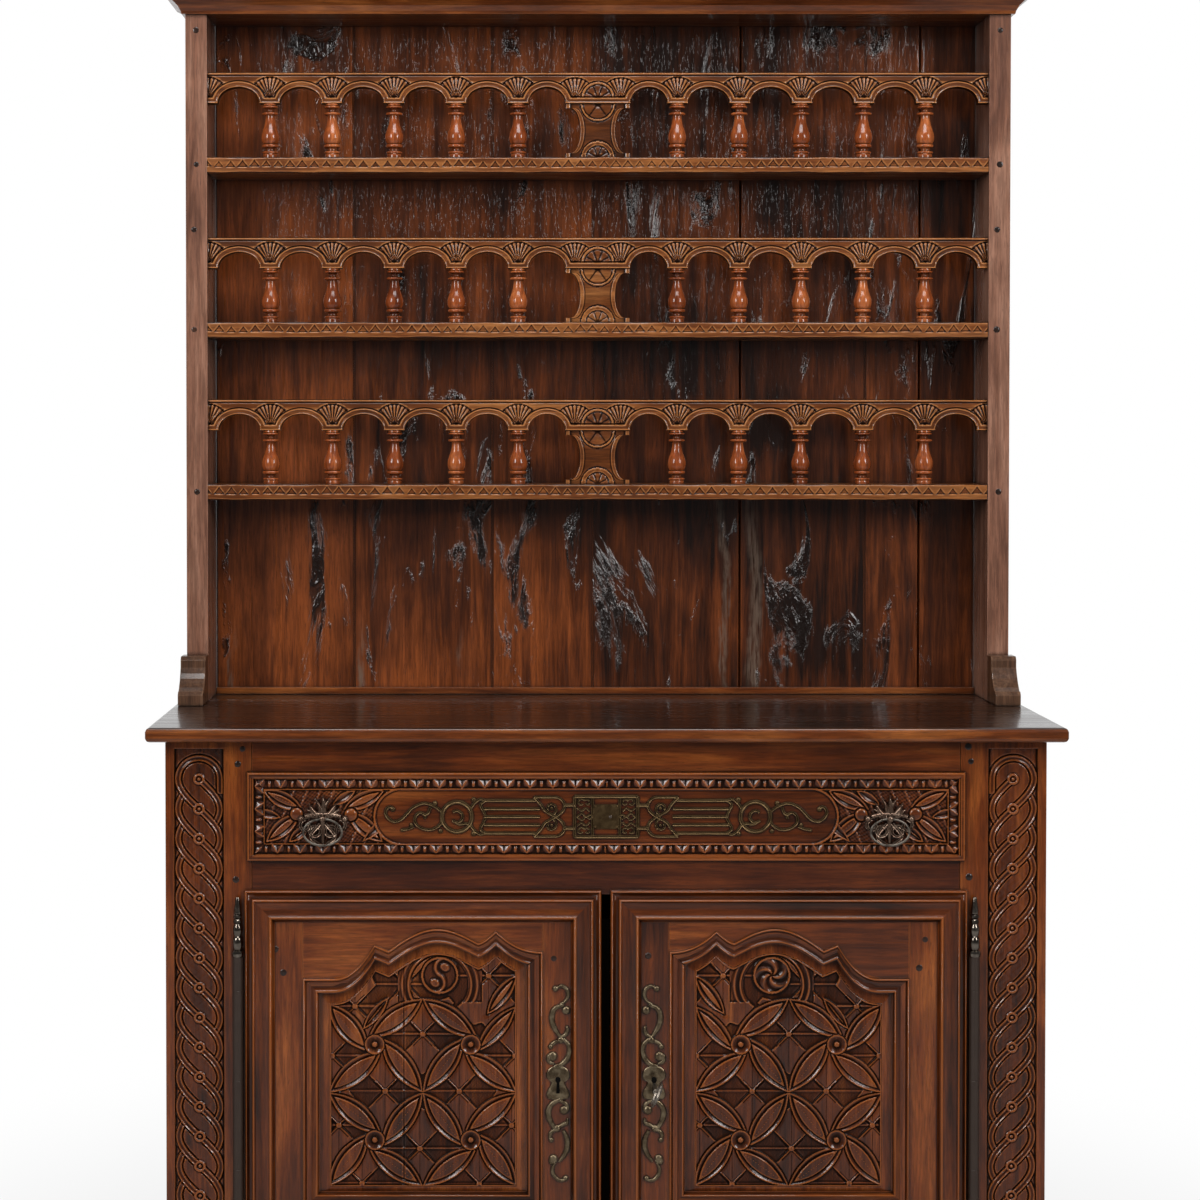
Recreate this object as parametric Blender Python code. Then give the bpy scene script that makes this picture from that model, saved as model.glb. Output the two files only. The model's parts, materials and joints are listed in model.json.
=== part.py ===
"""Carved dresser: a cupboard base with one drawer and two arched doors, and a plate-rack hutch.

Metres, +Z up, front towards -Y. The origin lies under the middle of the piece, on the floor.
"""
import math

import bmesh
import bpy
from mathutils import Vector

for old_object in list(bpy.data.objects):
    bpy.data.objects.remove(old_object, do_unlink=True)

# Clearances
GAP = 0.0003  # between pieces that touch
RUN = 0.0015  # round a door or a drawer in its opening

# Base carcass
BASE_WIDTH = 1.300
BASE_DEPTH = 0.485
FOOT_HEIGHT = 0.085
BOTTOM_RAIL_HEIGHT = 0.075
DOOR_OPENING_HEIGHT = 0.545
MIDDLE_RAIL_HEIGHT = 0.057
DRAWER_OPENING_HEIGHT = 0.118
TOP_RAIL_HEIGHT = 0.0535
FRAME_THICK = 0.034  # stiles and rails, front to back
STILE_WIDTH = 0.1275
REAR_STILE_WIDTH = 0.034
REAR_STILE_DEPTH = 0.050
SIDE_THICK = 0.022
BACK_THICK = 0.014
BOARD_THICK = 0.018  # cupboard floor and shelf
SHELF_SETBACK = 0.090
SHELF_RISE = 0.290  # cupboard shelf above the cupboard floor
STRIP_WIDTH = 0.073  # carved strip on each stile
STRIP_MARGIN = 0.013
STRIP_DEPTH = 0.004

# Counter
COUNTER_THICK = 0.0215
COUNTER_SIDE_OVERHANG = 0.025
COUNTER_FRONT_OVERHANG = 0.035
COUNTER_ROUND = 0.006

# Drawer
DRAWER_LIP = 0.007
DRAWER_PROUD = 0.007  # the face in front of the carcass
DRAWER_MOULDING = 0.020
DRAWER_BEAD = 0.003  # the edge moulding above the face
DRAWER_FRONT_BODY = 0.012
DRAWER_LENGTH = 0.390
DRAWER_SIDE_THICK = 0.012
DRAWER_BOTTOM_THICK = 0.008
DRAWER_SIDE_DROP = 0.012  # below the top of the opening
RUNNER_THICK = 0.020
RUNNER_UNDER = 0.020  # how far a runner reaches under the drawer
GUIDE_THICK = 0.022
GUIDE_HEIGHT = 0.030
CARTOUCHE_LENGTH = 0.681
CARTOUCHE_HEIGHT = 0.082
CARTOUCHE_DEPTH = 0.002
PULL_INSET = 0.1055  # ring pulls from the ends of the drawer opening
PULL_RISE = 0.057  # pivot above the drawer opening's floor
RING_HALF_WIDTH = 0.028
RING_HALF_HEIGHT = 0.0195
RING_WIRE = 0.0022
PLATE_THICK = 0.0018
PLATE_WIDTH = 0.072
PLATE_HEIGHT = 0.070
EYE_RADIUS = 0.006
EYE_BORE = 0.003
EYE_REACH = 0.0065  # pivot in front of the plate
FRET_LENGTH = 0.650
FRET_HEIGHT = 0.061
FRET_BAND = 0.0045
FRET_THICK = 0.0025
FRET_PLATE_HALF = 0.0465

# Doors
DOOR_LIP = 0.011  # over the posts
DOOR_END_LIP = 0.007  # over the rails
MEETING_GAP = 0.013
DOOR_BODY = 0.014  # thickness inside the opening
BEAD_WIDTH = 0.0105
BOLECTION_WIDTH = 0.035
FLAT_WIDTH = 0.041
INNER_MOULDING = 0.0246
BEAD_PROUD = 0.006
BOLECTION_PROUD = 0.013
FLAT_PROUD = 0.009
REBATE_WIDTH = 0.012  # panel held behind the inner moulding
REBATE_DEPTH = 0.002  # panel face behind the carcass face
PANEL_THICK = 0.010
FIELD_MARGIN = 0.0146
FIELD_RISE = 0.003
ARCH_RISE = 0.0735  # apex above the hinge-side corner
ARCH_CORNER_STEP = 0.040  # meeting-side corner above the hinge-side corner
ARCH_HEAD = 0.010  # flat left above the apex
TONGUE = 0.001  # how far joined forms reach into each other

# Hinge rods
ROD_RADIUS = 0.0078
ROD_RING_RADIUS = 0.009
ROD_END_MARGIN = 0.009
FINIAL_LENGTH = 0.087

# Lock furniture
ESCUTCHEON_INSET = 0.065
ESCUTCHEON_HALF = 0.147
ESCUTCHEON_BAND = 0.0050
ESCUTCHEON_THICK = 0.0022
ESCUTCHEON_DISC = 0.0125
LOCK_RISE = 0.2655  # keyhole above the door opening's floor
KEY_REACH = 0.075
KEY_SHANK = 0.003
KEY_COLLAR = 0.004  # from the bow to the collar
KEY_BOW_HALF_WIDTH = 0.013
KEY_BOW_HALF_HEIGHT = 0.017
KEY_BOW_WIRE = 0.0025
KEY_BOW_TURN = math.radians(25)
KEY_BIT = 0.0065
KEYHOLE_CLEAR = 0.0003  # round the key's shank
LOCK_WIDTH = 0.085
LOCK_HEIGHT = 0.064
LOCK_DEPTH = 0.018
BOLT_LENGTH = 0.060
BOLT_HEIGHT = 0.012
BOLT_THICK = 0.009
BOLT_RISE = 0.0095  # bolt's lower edge above the key

# Hutch
HUTCH_OVERHANG = 0.010  # hutch past the base at each end
HUTCH_WIDTH = BASE_WIDTH + 2 * HUTCH_OVERHANG
HUTCH_DEPTH = 0.140
HUTCH_SIDE_THICK = 0.034
HUTCH_BACK_THICK = 0.018
PLATE_SHELF_THICK = 0.0255
SHELF_FRONT_SETBACK = 0.002
HUTCH_CEILING = 1.100  # above the counter
PLATE_SHELF_SHARES = (349 / 1100, 609 / 1100, 873 / 1100)  # shelf tops, of the ceiling height
PLATE_SHELF_TOPS = [share * HUTCH_CEILING for share in PLATE_SHELF_SHARES]
TOP_BOARD_THICK = 0.025
CORNICE_HEIGHT = 0.080
CORNICE_REACH = 0.055
BACK_JOINT_SHARES = (-398 / 626, -170 / 626, -4 / 626, 445 / 626)  # of half the clear width
SKIRTING_HEIGHT = 0.011
SKIRTING_THICK = 0.012
SHOE_HEIGHT = 0.075
SHOE_TOP_REACH = 0.036
SHOE_REACH = 0.073
SHOE_OUTSET = 0.006

# Plate galleries
GALLERY_RAIL_HEIGHT = 0.050
BALUSTER_HEIGHT = 0.0858
GALLERY_THICK = 0.018
BALUSTERS_PER_SIDE = 5
BALUSTER_PITCH_SHARE = 99.6 / 626  # of half the clear width
BALUSTER_RADIUS = 0.015
GALLERY_ARCH_RISE = 0.026
SPRINGER_HALF = 0.0165  # half the foot between two arches
SPLAT_HALF = 0.052
SPLAT_WAIST = 0.0286
SPLAT_THICK = 0.014
SPLAT_LEDGE = 0.007

# Facets
ROUND_SIDES = 8
ARCH_STEPS = 6
HOOP_STEPS = 18
WIRE_SIDES = 6
HOLE_SIDES = 12
PLATE_POINTS = 32
ARCH_STATIONS = (0.0, 0.125, 0.19, 0.24, 0.28, 0.30, 0.358, 0.40, 0.45, 0.50, 0.5435, 0.59, 0.64, 0.69)
ARCH_STATIONS += (0.729, 0.77, 0.804, 0.83, 0.87, 0.92, 1.0)

# Places worked out from the sizes above
DOOR_PROUD = BOLECTION_PROUD
FRONT_Y = (DOOR_PROUD + KEY_REACH - BASE_DEPTH) / 2
BACK_Y = FRONT_Y + BASE_DEPTH
FRAME_BACK_Y = FRONT_Y + FRAME_THICK
BASE_HALF = BASE_WIDTH / 2
OPEN_HALF = BASE_HALF - STILE_WIDTH
INNER_HALF = BASE_HALF - SIDE_THICK
DOOR_FLOOR_Z = FOOT_HEIGHT + BOTTOM_RAIL_HEIGHT
DOOR_HEAD_Z = DOOR_FLOOR_Z + DOOR_OPENING_HEIGHT
DRAWER_FLOOR_Z = DOOR_HEAD_Z + MIDDLE_RAIL_HEIGHT
DRAWER_HEAD_Z = DRAWER_FLOOR_Z + DRAWER_OPENING_HEIGHT
UNDER_Z = DRAWER_HEAD_Z + TOP_RAIL_HEIGHT
COUNTER_Z = UNDER_Z + COUNTER_THICK
HUTCH_HALF = HUTCH_WIDTH / 2
HUTCH_INNER = HUTCH_HALF - HUTCH_SIDE_THICK
BACK_JOINTS = [share * HUTCH_INNER for share in BACK_JOINT_SHARES]
BALUSTER_PITCH = BALUSTER_PITCH_SHARE * HUTCH_INNER
HUTCH_FRONT_Y = BACK_Y - HUTCH_DEPTH
HUTCH_BACK_FACE_Y = BACK_Y - HUTCH_BACK_THICK
CEILING_Z = COUNTER_Z + HUTCH_CEILING
HINGE_OFFSET = ROD_RING_RADIUS + GAP
DOOR_OUTER = OPEN_HALF + DOOR_LIP
HINGE_X = DOOR_OUTER + HINGE_OFFSET
HINGE_Y = FRONT_Y - HINGE_OFFSET
DOOR_INNER = MEETING_GAP / 2
DOOR_LOW_Z = DOOR_FLOOR_Z - DOOR_END_LIP
DOOR_HIGH_Z = DOOR_HEAD_Z + DOOR_END_LIP
MITRE = BEAD_WIDTH + BOLECTION_WIDTH
FLAT_END = MITRE + FLAT_WIDTH
SIGHT = FLAT_END + INNER_MOULDING
ARCH_CORNER_Z = DOOR_HIGH_Z - MITRE - ARCH_HEAD - ARCH_RISE
PANEL_TOP_Z = DOOR_HIGH_Z - MITRE - ARCH_HEAD * 0.6
LOCK_Z = DOOR_FLOOR_Z + LOCK_RISE
PULL_X = OPEN_HALF - PULL_INSET
PULL_Z = DRAWER_FLOOR_Z + PULL_RISE
DRAWER_FACE_Y = FRONT_Y - DRAWER_PROUD
DRAWER_MID_Z = (DRAWER_FLOOR_Z + DRAWER_HEAD_Z) / 2

# Finish of each kind of piece: colour, roughness, metallic
FINISHES = {
    "base_wood": ((0.120, 0.042, 0.019), 0.38, 0.0),
    "hutch_wood": ((0.170, 0.068, 0.030), 0.40, 0.0),
    "back_wood": ((0.042, 0.014, 0.008), 0.45, 0.0),
    "top_wood": ((0.070, 0.028, 0.015), 0.28, 0.0),
    "inner_wood": ((0.230, 0.130, 0.065), 0.65, 0.0),
    "iron": ((0.105, 0.088, 0.070), 0.42, 1.0),
    "bronze": ((0.130, 0.088, 0.038), 0.45, 1.0),
}


# Modelling helpers


def give_finish(obj, finish):
    """A material of the piece's own, from the table of finishes."""
    colour, roughness, metallic = FINISHES[finish]
    mat = bpy.data.materials.new(f"{obj.name}_{finish}")
    mat.use_nodes = True
    shader = mat.node_tree.nodes["Principled BSDF"]
    shader.inputs["Base Color"].default_value = (*colour, 1.0)
    shader.inputs["Roughness"].default_value = roughness
    shader.inputs["Metallic"].default_value = metallic
    obj.data.materials.clear()
    obj.data.materials.append(mat)


def solid(name, verts, faces):
    """A closed mesh object with its faces pointing out."""
    mesh = bpy.data.meshes.new(name)
    mesh.from_pydata(verts, [], faces)
    work = bmesh.new()
    work.from_mesh(mesh)
    bmesh.ops.recalc_face_normals(work, faces=work.faces)
    work.to_mesh(mesh)
    work.free()
    obj = bpy.data.objects.new(name, mesh)
    bpy.context.collection.objects.link(obj)
    return obj


def loft(name, rings, caps=None, closed=False):
    """A skin over rings of points; caps lists the end faces by index, one n-gon unless given."""
    count = len(rings[0])
    verts = [point for ring in rings for point in ring]
    faces = []
    spans = len(rings) if closed else len(rings) - 1
    for k in range(spans):
        here = k * count
        there = ((k + 1) % len(rings)) * count
        for i in range(count):
            j = (i + 1) % count
            faces.append((here + i, here + j, there + j, there + i))
    if not closed:
        last = (len(rings) - 1) * count
        for cap in caps or [tuple(range(count))]:
            faces.append(tuple(cap))
            faces.append(tuple(last + i for i in cap))
    return solid(name, verts, faces)


def prism(name, outline, plane, low, high):
    """An outline in the XY, XZ or YZ plane, drawn out along the third axis from low to high."""
    order = {"XY": (0, 1, 2), "XZ": (0, 2, 1), "YZ": (1, 2, 0)}[plane]
    rings = []
    for level in (low, high):
        ring = []
        for a, b in outline:
            point = [0.0, 0.0, 0.0]
            for axis, value in zip(order, (a, b, level)):
                point[axis] = value
            ring.append(tuple(point))
        rings.append(ring)
    return loft(name, rings)


def box(name, xs, ys, zs):
    """A board between two values on each axis."""
    (x0, x1), (z0, z1) = sorted(xs), sorted(zs)
    return prism(name, [(x0, z0), (x1, z0), (x1, z1), (x0, z1)], "XZ", *sorted(ys))


def arc(centre, radius, start, end, steps):
    """Points on an arc, with the angles in degrees."""
    points = []
    for k in range(steps + 1):
        angle = math.radians(start + (end - start) * k / steps)
        x = centre[0] + radius * math.cos(angle)
        points.append((x, centre[1] + radius * math.sin(angle)))
    return points


def turned(name, profile, at, sides=ROUND_SIDES, along="Z"):
    """A lathe form: profile of (radius, height) about an axis through at."""
    rings = []
    for radius, height in profile:
        ring = []
        for a, b in arc((0, 0), radius, 0, 360 - 360 / sides, sides - 1):
            if along == "Z":
                ring.append((at[0] + a, at[1] + b, at[2] + height))
            elif along == "Y":
                ring.append((at[0] + a, at[1] + height, at[2] + b))
            else:
                ring.append((at[0] + height, at[1] + a, at[2] + b))
        rings.append(ring)
    return loft(name, rings)


def strap(name, path, width, back_y, front_y, closed=False):
    """A flat band of metal along a path in the XZ plane, with its width shared by both sides."""
    rings = []
    last = len(path) - 1
    for k, (x, z) in enumerate(path):
        ax, az = path[k - 1] if k > 0 or closed else path[0]
        bx, bz = path[(k + 1) % len(path)] if k < last or closed else path[last]
        length = math.hypot(bx - ax, bz - az)
        nx, nz = -(bz - az) / length * width / 2, (bx - ax) / length * width / 2
        rings.append(
            [
                (x + nx, back_y, z + nz),
                (x + nx, front_y, z + nz),
                (x - nx, front_y, z - nz),
                (x - nx, back_y, z - nz),
            ]
        )
    return loft(name, rings, closed=closed)


def combine(target, tools, operation):
    """Joins tools to the target, or cuts them from it, and removes them."""
    for tool in tools:
        step = target.modifiers.new(operation.lower(), "BOOLEAN")
        step.object = tool
        step.operation = operation
        step.solver = "EXACT"
    graph = bpy.context.evaluated_depsgraph_get()
    mesh = bpy.data.meshes.new_from_object(target.evaluated_get(graph))
    target.modifiers.clear()
    target.data = mesh
    for tool in tools:
        bpy.data.objects.remove(tool, do_unlink=True)
    return target


def round_shading(obj):
    """Smooth shading over round forms, with creases kept."""
    obj.data.shade_smooth()
    obj.data.set_sharp_from_angle(angle=math.radians(50))


def axis_empty(name, at):
    """An empty on a joint's axis, which carries the pieces that move with it."""
    empty = bpy.data.objects.new(name, None)
    empty.location = at
    bpy.context.collection.objects.link(empty)
    return empty


def carry(empty, pieces):
    """Parents pieces to an empty and leaves them where they are."""
    bpy.context.view_layer.update()
    for piece in pieces:
        piece.parent = empty
        piece.matrix_parent_inverse = empty.matrix_world.inverted()


def sides():
    """The two hands of the piece, with the sign of X on each."""
    return (("left", -1), ("right", 1))


# Base carcass


def make_front_stile(hand, sign):
    """Front corner post, sunk along its face for the carved strip; its lower end is the foot."""
    outer = sign * BASE_HALF
    stile = box(
        f"front_stile_{hand}",
        (sign * OPEN_HALF, outer),
        (FRONT_Y, FRAME_BACK_Y),
        (0, UNDER_Z - GAP),
    )
    strip_edge = outer - sign * STRIP_MARGIN
    pocket = box(
        "strip_pocket",
        (strip_edge, strip_edge - sign * STRIP_WIDTH),
        (FRONT_Y - STRIP_DEPTH, FRONT_Y + STRIP_DEPTH),
        (FOOT_HEIGHT, UNDER_Z - STRIP_MARGIN),
    )
    combine(stile, [pocket], "DIFFERENCE")
    give_finish(stile, "base_wood")


def make_rear_stile(hand, sign):
    """Rear corner post."""
    stile = box(
        f"rear_stile_{hand}",
        (sign * (BASE_HALF - REAR_STILE_WIDTH), sign * BASE_HALF),
        (BACK_Y - REAR_STILE_DEPTH, BACK_Y),
        (0, UNDER_Z - GAP),
    )
    give_finish(stile, "base_wood")


def make_base_side(hand, sign):
    """Side between the posts: a frame with two sunk, bevelled panels on its outer face."""
    outer = sign * BASE_HALF
    front = FRAME_BACK_Y + GAP
    back = BACK_Y - REAR_STILE_DEPTH - GAP
    top = UNDER_Z - GAP
    side = box(
        f"base_side_{hand}", (outer, sign * INNER_HALF), (front, back), (FOOT_HEIGHT, top)
    )
    margin = SIDE_THICK * 2.5
    bevel = SIDE_THICK
    sunk = SIDE_THICK * 0.4
    middle = DRAWER_FLOOR_Z - MIDDLE_RAIL_HEIGHT / 2
    cutters = []
    for low, high in ((FOOT_HEIGHT, middle), (middle, top)):
        low_edge = low + margin
        high_edge = high - margin / 2
        rings = []
        for depth, inset in ((-sunk, -bevel), (sunk, bevel)):
            x = outer - sign * depth
            y0 = front + margin + inset / 2
            y1 = back - margin - inset / 2
            z0 = low_edge + inset / 2
            z1 = high_edge - inset / 2
            rings.append([(x, y0, z0), (x, y1, z0), (x, y1, z1), (x, y0, z1)])
        cutters.append(loft("side_sinking", rings))
    combine(side, cutters, "DIFFERENCE")
    give_finish(side, "base_wood")


def make_front_rails():
    """Top, middle and bottom rails between the front posts."""
    reach = OPEN_HALF - GAP
    levels = {
        "bottom_rail": (FOOT_HEIGHT, DOOR_FLOOR_Z),
        "middle_rail": (DOOR_HEAD_Z, DRAWER_FLOOR_Z),
        "top_rail": (DRAWER_HEAD_Z, UNDER_Z - GAP),
    }
    for name, level in levels.items():
        rail = box(name, (-reach, reach), (FRONT_Y, FRAME_BACK_Y), level)
        give_finish(rail, "base_wood")


def notched_board(name, front, top):
    """A board between the sides, notched round the rear posts."""
    wide = INNER_HALF - GAP
    narrow = BASE_HALF - REAR_STILE_WIDTH - GAP
    notch = BACK_Y - REAR_STILE_DEPTH - GAP
    back = BACK_Y - BACK_THICK - GAP
    outline = [(-wide, front), (wide, front), (wide, notch), (narrow, notch)]
    outline += [(narrow, back), (-narrow, back), (-narrow, notch), (-wide, notch)]
    board = prism(name, outline, "XY", top - BOARD_THICK, top)
    give_finish(board, "inner_wood")


def make_inside():
    """Back, floor, shelf and the two drawer runners."""
    reach = BASE_HALF - REAR_STILE_WIDTH - GAP
    back = box(
        "base_back", (-reach, reach), (BACK_Y - BACK_THICK, BACK_Y), (FOOT_HEIGHT, UNDER_Z - GAP)
    )
    give_finish(back, "inner_wood")
    notched_board("cupboard_floor", FRAME_BACK_Y + GAP, DOOR_FLOOR_Z - GAP)
    notched_board("cupboard_shelf", FRAME_BACK_Y + SHELF_SETBACK, DOOR_FLOOR_Z + SHELF_RISE)
    under = OPEN_HALF - RUN - RUNNER_UNDER
    low, top = DRAWER_FLOOR_Z - RUNNER_THICK, DRAWER_FLOOR_Z
    wall = INNER_HALF - GAP
    guide = OPEN_HALF + GUIDE_THICK
    section = [(under, low), (wall, low), (wall, top), (guide, top), (guide, top + GUIDE_HEIGHT)]
    section += [(OPEN_HALF, top + GUIDE_HEIGHT), (OPEN_HALF, top), (under, top)]
    for hand, sign in sides():
        runner = prism(
            f"drawer_runner_{hand}",
            [(sign * x, z) for x, z in section],
            "XZ",
            FRAME_BACK_Y + GAP,
            BACK_Y - REAR_STILE_DEPTH - GAP,
        )
        give_finish(runner, "inner_wood")


def make_counter():
    """Counter board with a rounded moulding along its front and sides."""
    rings = []
    rise = COUNTER_THICK - 2 * COUNTER_ROUND
    profile = [(COUNTER_ROUND, 0.0), (COUNTER_ROUND * 0.3, COUNTER_ROUND * 0.3)]
    profile += [(0.0, COUNTER_ROUND), (0.0, COUNTER_ROUND + rise)]
    profile += [(COUNTER_ROUND * 0.3, COUNTER_THICK - COUNTER_ROUND * 0.3)]
    profile += [(COUNTER_ROUND, COUNTER_THICK)]
    for inset, height in profile:
        half = BASE_HALF + COUNTER_SIDE_OVERHANG - inset
        front = FRONT_Y - COUNTER_FRONT_OVERHANG + inset
        z = UNDER_Z + height
        rings.append([(-half, front, z), (half, front, z), (half, BACK_Y, z), (-half, BACK_Y, z)])
    counter = loft("counter_top", rings)
    give_finish(counter, "top_wood")


def make_hinge_rod(hand, sign):
    """Tall iron hinge rod with a turned finial at each end; its rings bear on post and door."""
    low = DOOR_LOW_Z + ROD_END_MARGIN
    high = DOOR_HIGH_Z - ROD_END_MARGIN
    finial = [(0.10, 0.00), (0.30, 0.06), (0.62, 0.30), (0.80, 0.36), (0.45, 0.40), (0.85, 0.48)]
    finial += [(0.45, 0.56), (0.90, 0.66), (0.50, 0.76), (0.92, 0.80), (1.00, 0.86), (1.00, 0.95)]
    lower = [(r * ROD_RING_RADIUS, h * FINIAL_LENGTH) for r, h in finial]
    tube = [(ROD_RADIUS, FINIAL_LENGTH), (ROD_RADIUS, high - low - FINIAL_LENGTH)]
    upper = [(r, high - low - h) for r, h in reversed(lower)]
    at = (sign * HINGE_X, HINGE_Y, low)
    rod = turned(f"hinge_rod_{hand}", lower + tube + upper, at, sides=ROUND_SIDES)
    round_shading(rod)
    give_finish(rod, "iron")


def make_base():
    for hand, sign in sides():
        make_front_stile(hand, sign)
        make_rear_stile(hand, sign)
        make_base_side(hand, sign)
        make_hinge_rod(hand, sign)
    make_front_rails()
    make_inside()
    make_counter()


# Drawer


def face_ring(half, low, high, y):
    """Four corners of an upright rectangle."""
    return [(-half, y, low), (half, y, low), (half, y, high), (-half, y, high)]


def make_drawer_front():
    """Lipped front with a moulded edge and a sunk cartouche with round ends for the metal mount."""
    body = (OPEN_HALF - RUN, DRAWER_FLOOR_Z + RUN, DRAWER_HEAD_Z - RUN)
    lip = (OPEN_HALF + DRAWER_LIP, DRAWER_FLOOR_Z - DRAWER_LIP, DRAWER_HEAD_Z + DRAWER_LIP)
    rings = [
        face_ring(*body, FRONT_Y + DRAWER_FRONT_BODY),
        face_ring(*body, FRONT_Y - GAP),
        face_ring(*lip, FRONT_Y - GAP),
    ]
    crest_y = DRAWER_FACE_Y - DRAWER_BEAD
    steps = [(0.0, FRONT_Y - DRAWER_PROUD / 2), (0.15, crest_y), (0.60, crest_y)]
    steps += [(0.80, DRAWER_FACE_Y), (1.00, DRAWER_FACE_Y)]
    for share, y in steps:
        inset = share * DRAWER_MOULDING
        rings.append(face_ring(lip[0] - inset, lip[1] + inset, lip[2] - inset, y))
    front = loft("drawer_front", rings)
    radius = CARTOUCHE_HEIGHT / 2
    run = CARTOUCHE_LENGTH / 2 - radius
    outline = arc((run, DRAWER_MID_Z), radius, -90, 90, ARCH_STEPS)
    outline += arc((-run, DRAWER_MID_Z), radius, 90, 270, ARCH_STEPS)
    floor_y = DRAWER_FACE_Y + CARTOUCHE_DEPTH
    sinking = prism("cartouche", outline, "XZ", DRAWER_FACE_Y - CARTOUCHE_DEPTH, floor_y)
    combine(front, [sinking], "DIFFERENCE")
    give_finish(front, "base_wood")
    return front


def make_drawer_box():
    """Sides, back and bottom of the drawer."""
    outer = OPEN_HALF - RUN
    inner = outer - DRAWER_SIDE_THICK
    front = FRONT_Y + DRAWER_FRONT_BODY + GAP
    back = FRONT_Y + DRAWER_LENGTH
    low, high = DRAWER_FLOOR_Z + GAP, DRAWER_HEAD_Z - DRAWER_SIDE_DROP
    pieces = []
    for hand, sign in sides():
        name = f"drawer_side_{hand}"
        pieces.append(box(name, (sign * inner, sign * outer), (front, back), (low, high)))
    reach = inner - GAP
    bottom_top = low + DRAWER_BOTTOM_THICK
    back_face = back - DRAWER_SIDE_THICK
    depth = (front, back)
    pieces.append(box("drawer_bottom", (-reach, reach), depth, (low, bottom_top)))
    back_levels = (bottom_top + GAP, high)
    pieces.append(box("drawer_back", (-reach, reach), (back_face, back), back_levels))
    for piece in pieces:
        give_finish(piece, "inner_wood")
    return pieces


def bend(start, pull, end, steps=5):
    """Points on a curve from start to end, drawn towards pull."""
    points = []
    for k in range(steps + 1):
        t = k / steps
        weights = ((1 - t) ** 2, 2 * t * (1 - t), t * t)
        x = sum(w * p[0] for w, p in zip(weights, (start, pull, end)))
        z = sum(w * p[1] for w, p in zip(weights, (start, pull, end)))
        points.append((x, z))
    return points


def volute(centre, start_radius, end_radius, start, end, steps=9):
    """Points on a curl whose radius changes evenly, with the angles in degrees."""
    points = []
    for k in range(steps + 1):
        t = k / steps
        radius = start_radius + (end_radius - start_radius) * t
        angle = math.radians(start + (end - start) * t)
        x = centre[0] + radius * math.cos(angle)
        points.append((x, centre[1] + radius * math.sin(angle)))
    return points


def fret_paths():
    """Centre lines of one half of the drawer mount, from the lock plate out to the hook end.

    Each comes with True where it is a closed ring.
    """
    unit = FRET_LENGTH / 2
    tall = FRET_HEIGHT / 2
    ring_at = 0.676 * unit
    ring = 0.70 * tall
    lobe = arc((0.235 * unit, 0.41 * tall), 0.51 * tall, 285, 90, 6) + [(0.332 * unit, 0.92 * tall)]
    brace = bend((0.332 * unit, 0.92 * tall), (0.298 * unit, 0.55 * tall), (0.296 * unit, -0.03 * tall))
    curl = volute((0.252 * unit, 0.40 * tall), 0.20 * tall, 0.42 * tall, 150, -75, 6)
    curl.append((0.296 * unit, 0.0))
    link = [(0.135 * unit, 0.56 * tall), (0.185 * unit, 0.56 * tall)]
    ear = bend((0.545 * unit, 0.78 * tall), (0.590 * unit, 0.95 * tall), (0.628 * unit, 0.52 * tall))
    open_paths = []
    for up in (1, -1):
        for path in (lobe, brace, curl, link, ear):
            open_paths.append([(x, up * z) for x, z in path])
    for step, start in ((-2, 0.322), (-1, 0.302), (0, 0.290), (1, 0.302), (2, 0.322)):
        z = 0.377 * tall * step
        open_paths.append([(start * unit, z), (0.549 * unit, z)])
    open_paths.append([(0.548 * unit, -0.86 * tall), (0.548 * unit, 0.86 * tall)])
    open_paths.append(volute((ring_at, 0), ring, 0.24 * tall, 40, 330, 7))
    wave = bend((0.735 * unit, -0.12 * tall), (0.800 * unit, -1.10 * tall), (0.882 * unit, 0.02 * tall))
    loop = bend((0.738 * unit, 0.10 * tall), (0.808 * unit, 1.15 * tall), (0.885 * unit, 0.0))
    tail = bend((0.880 * unit, 0.04 * tall), (0.935 * unit, -0.60 * tall), (0.972 * unit, -0.10 * tall))
    hook = bend((0.970 * unit, -0.14 * tall), (1.000 * unit, 0.30 * tall), (0.950 * unit, 0.36 * tall))
    open_paths += [wave, loop, tail, hook]
    ring_path = arc((ring_at, 0), ring, 0, 330, 11)
    return [(path, False) for path in open_paths] + [(ring_path, True)]


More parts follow.
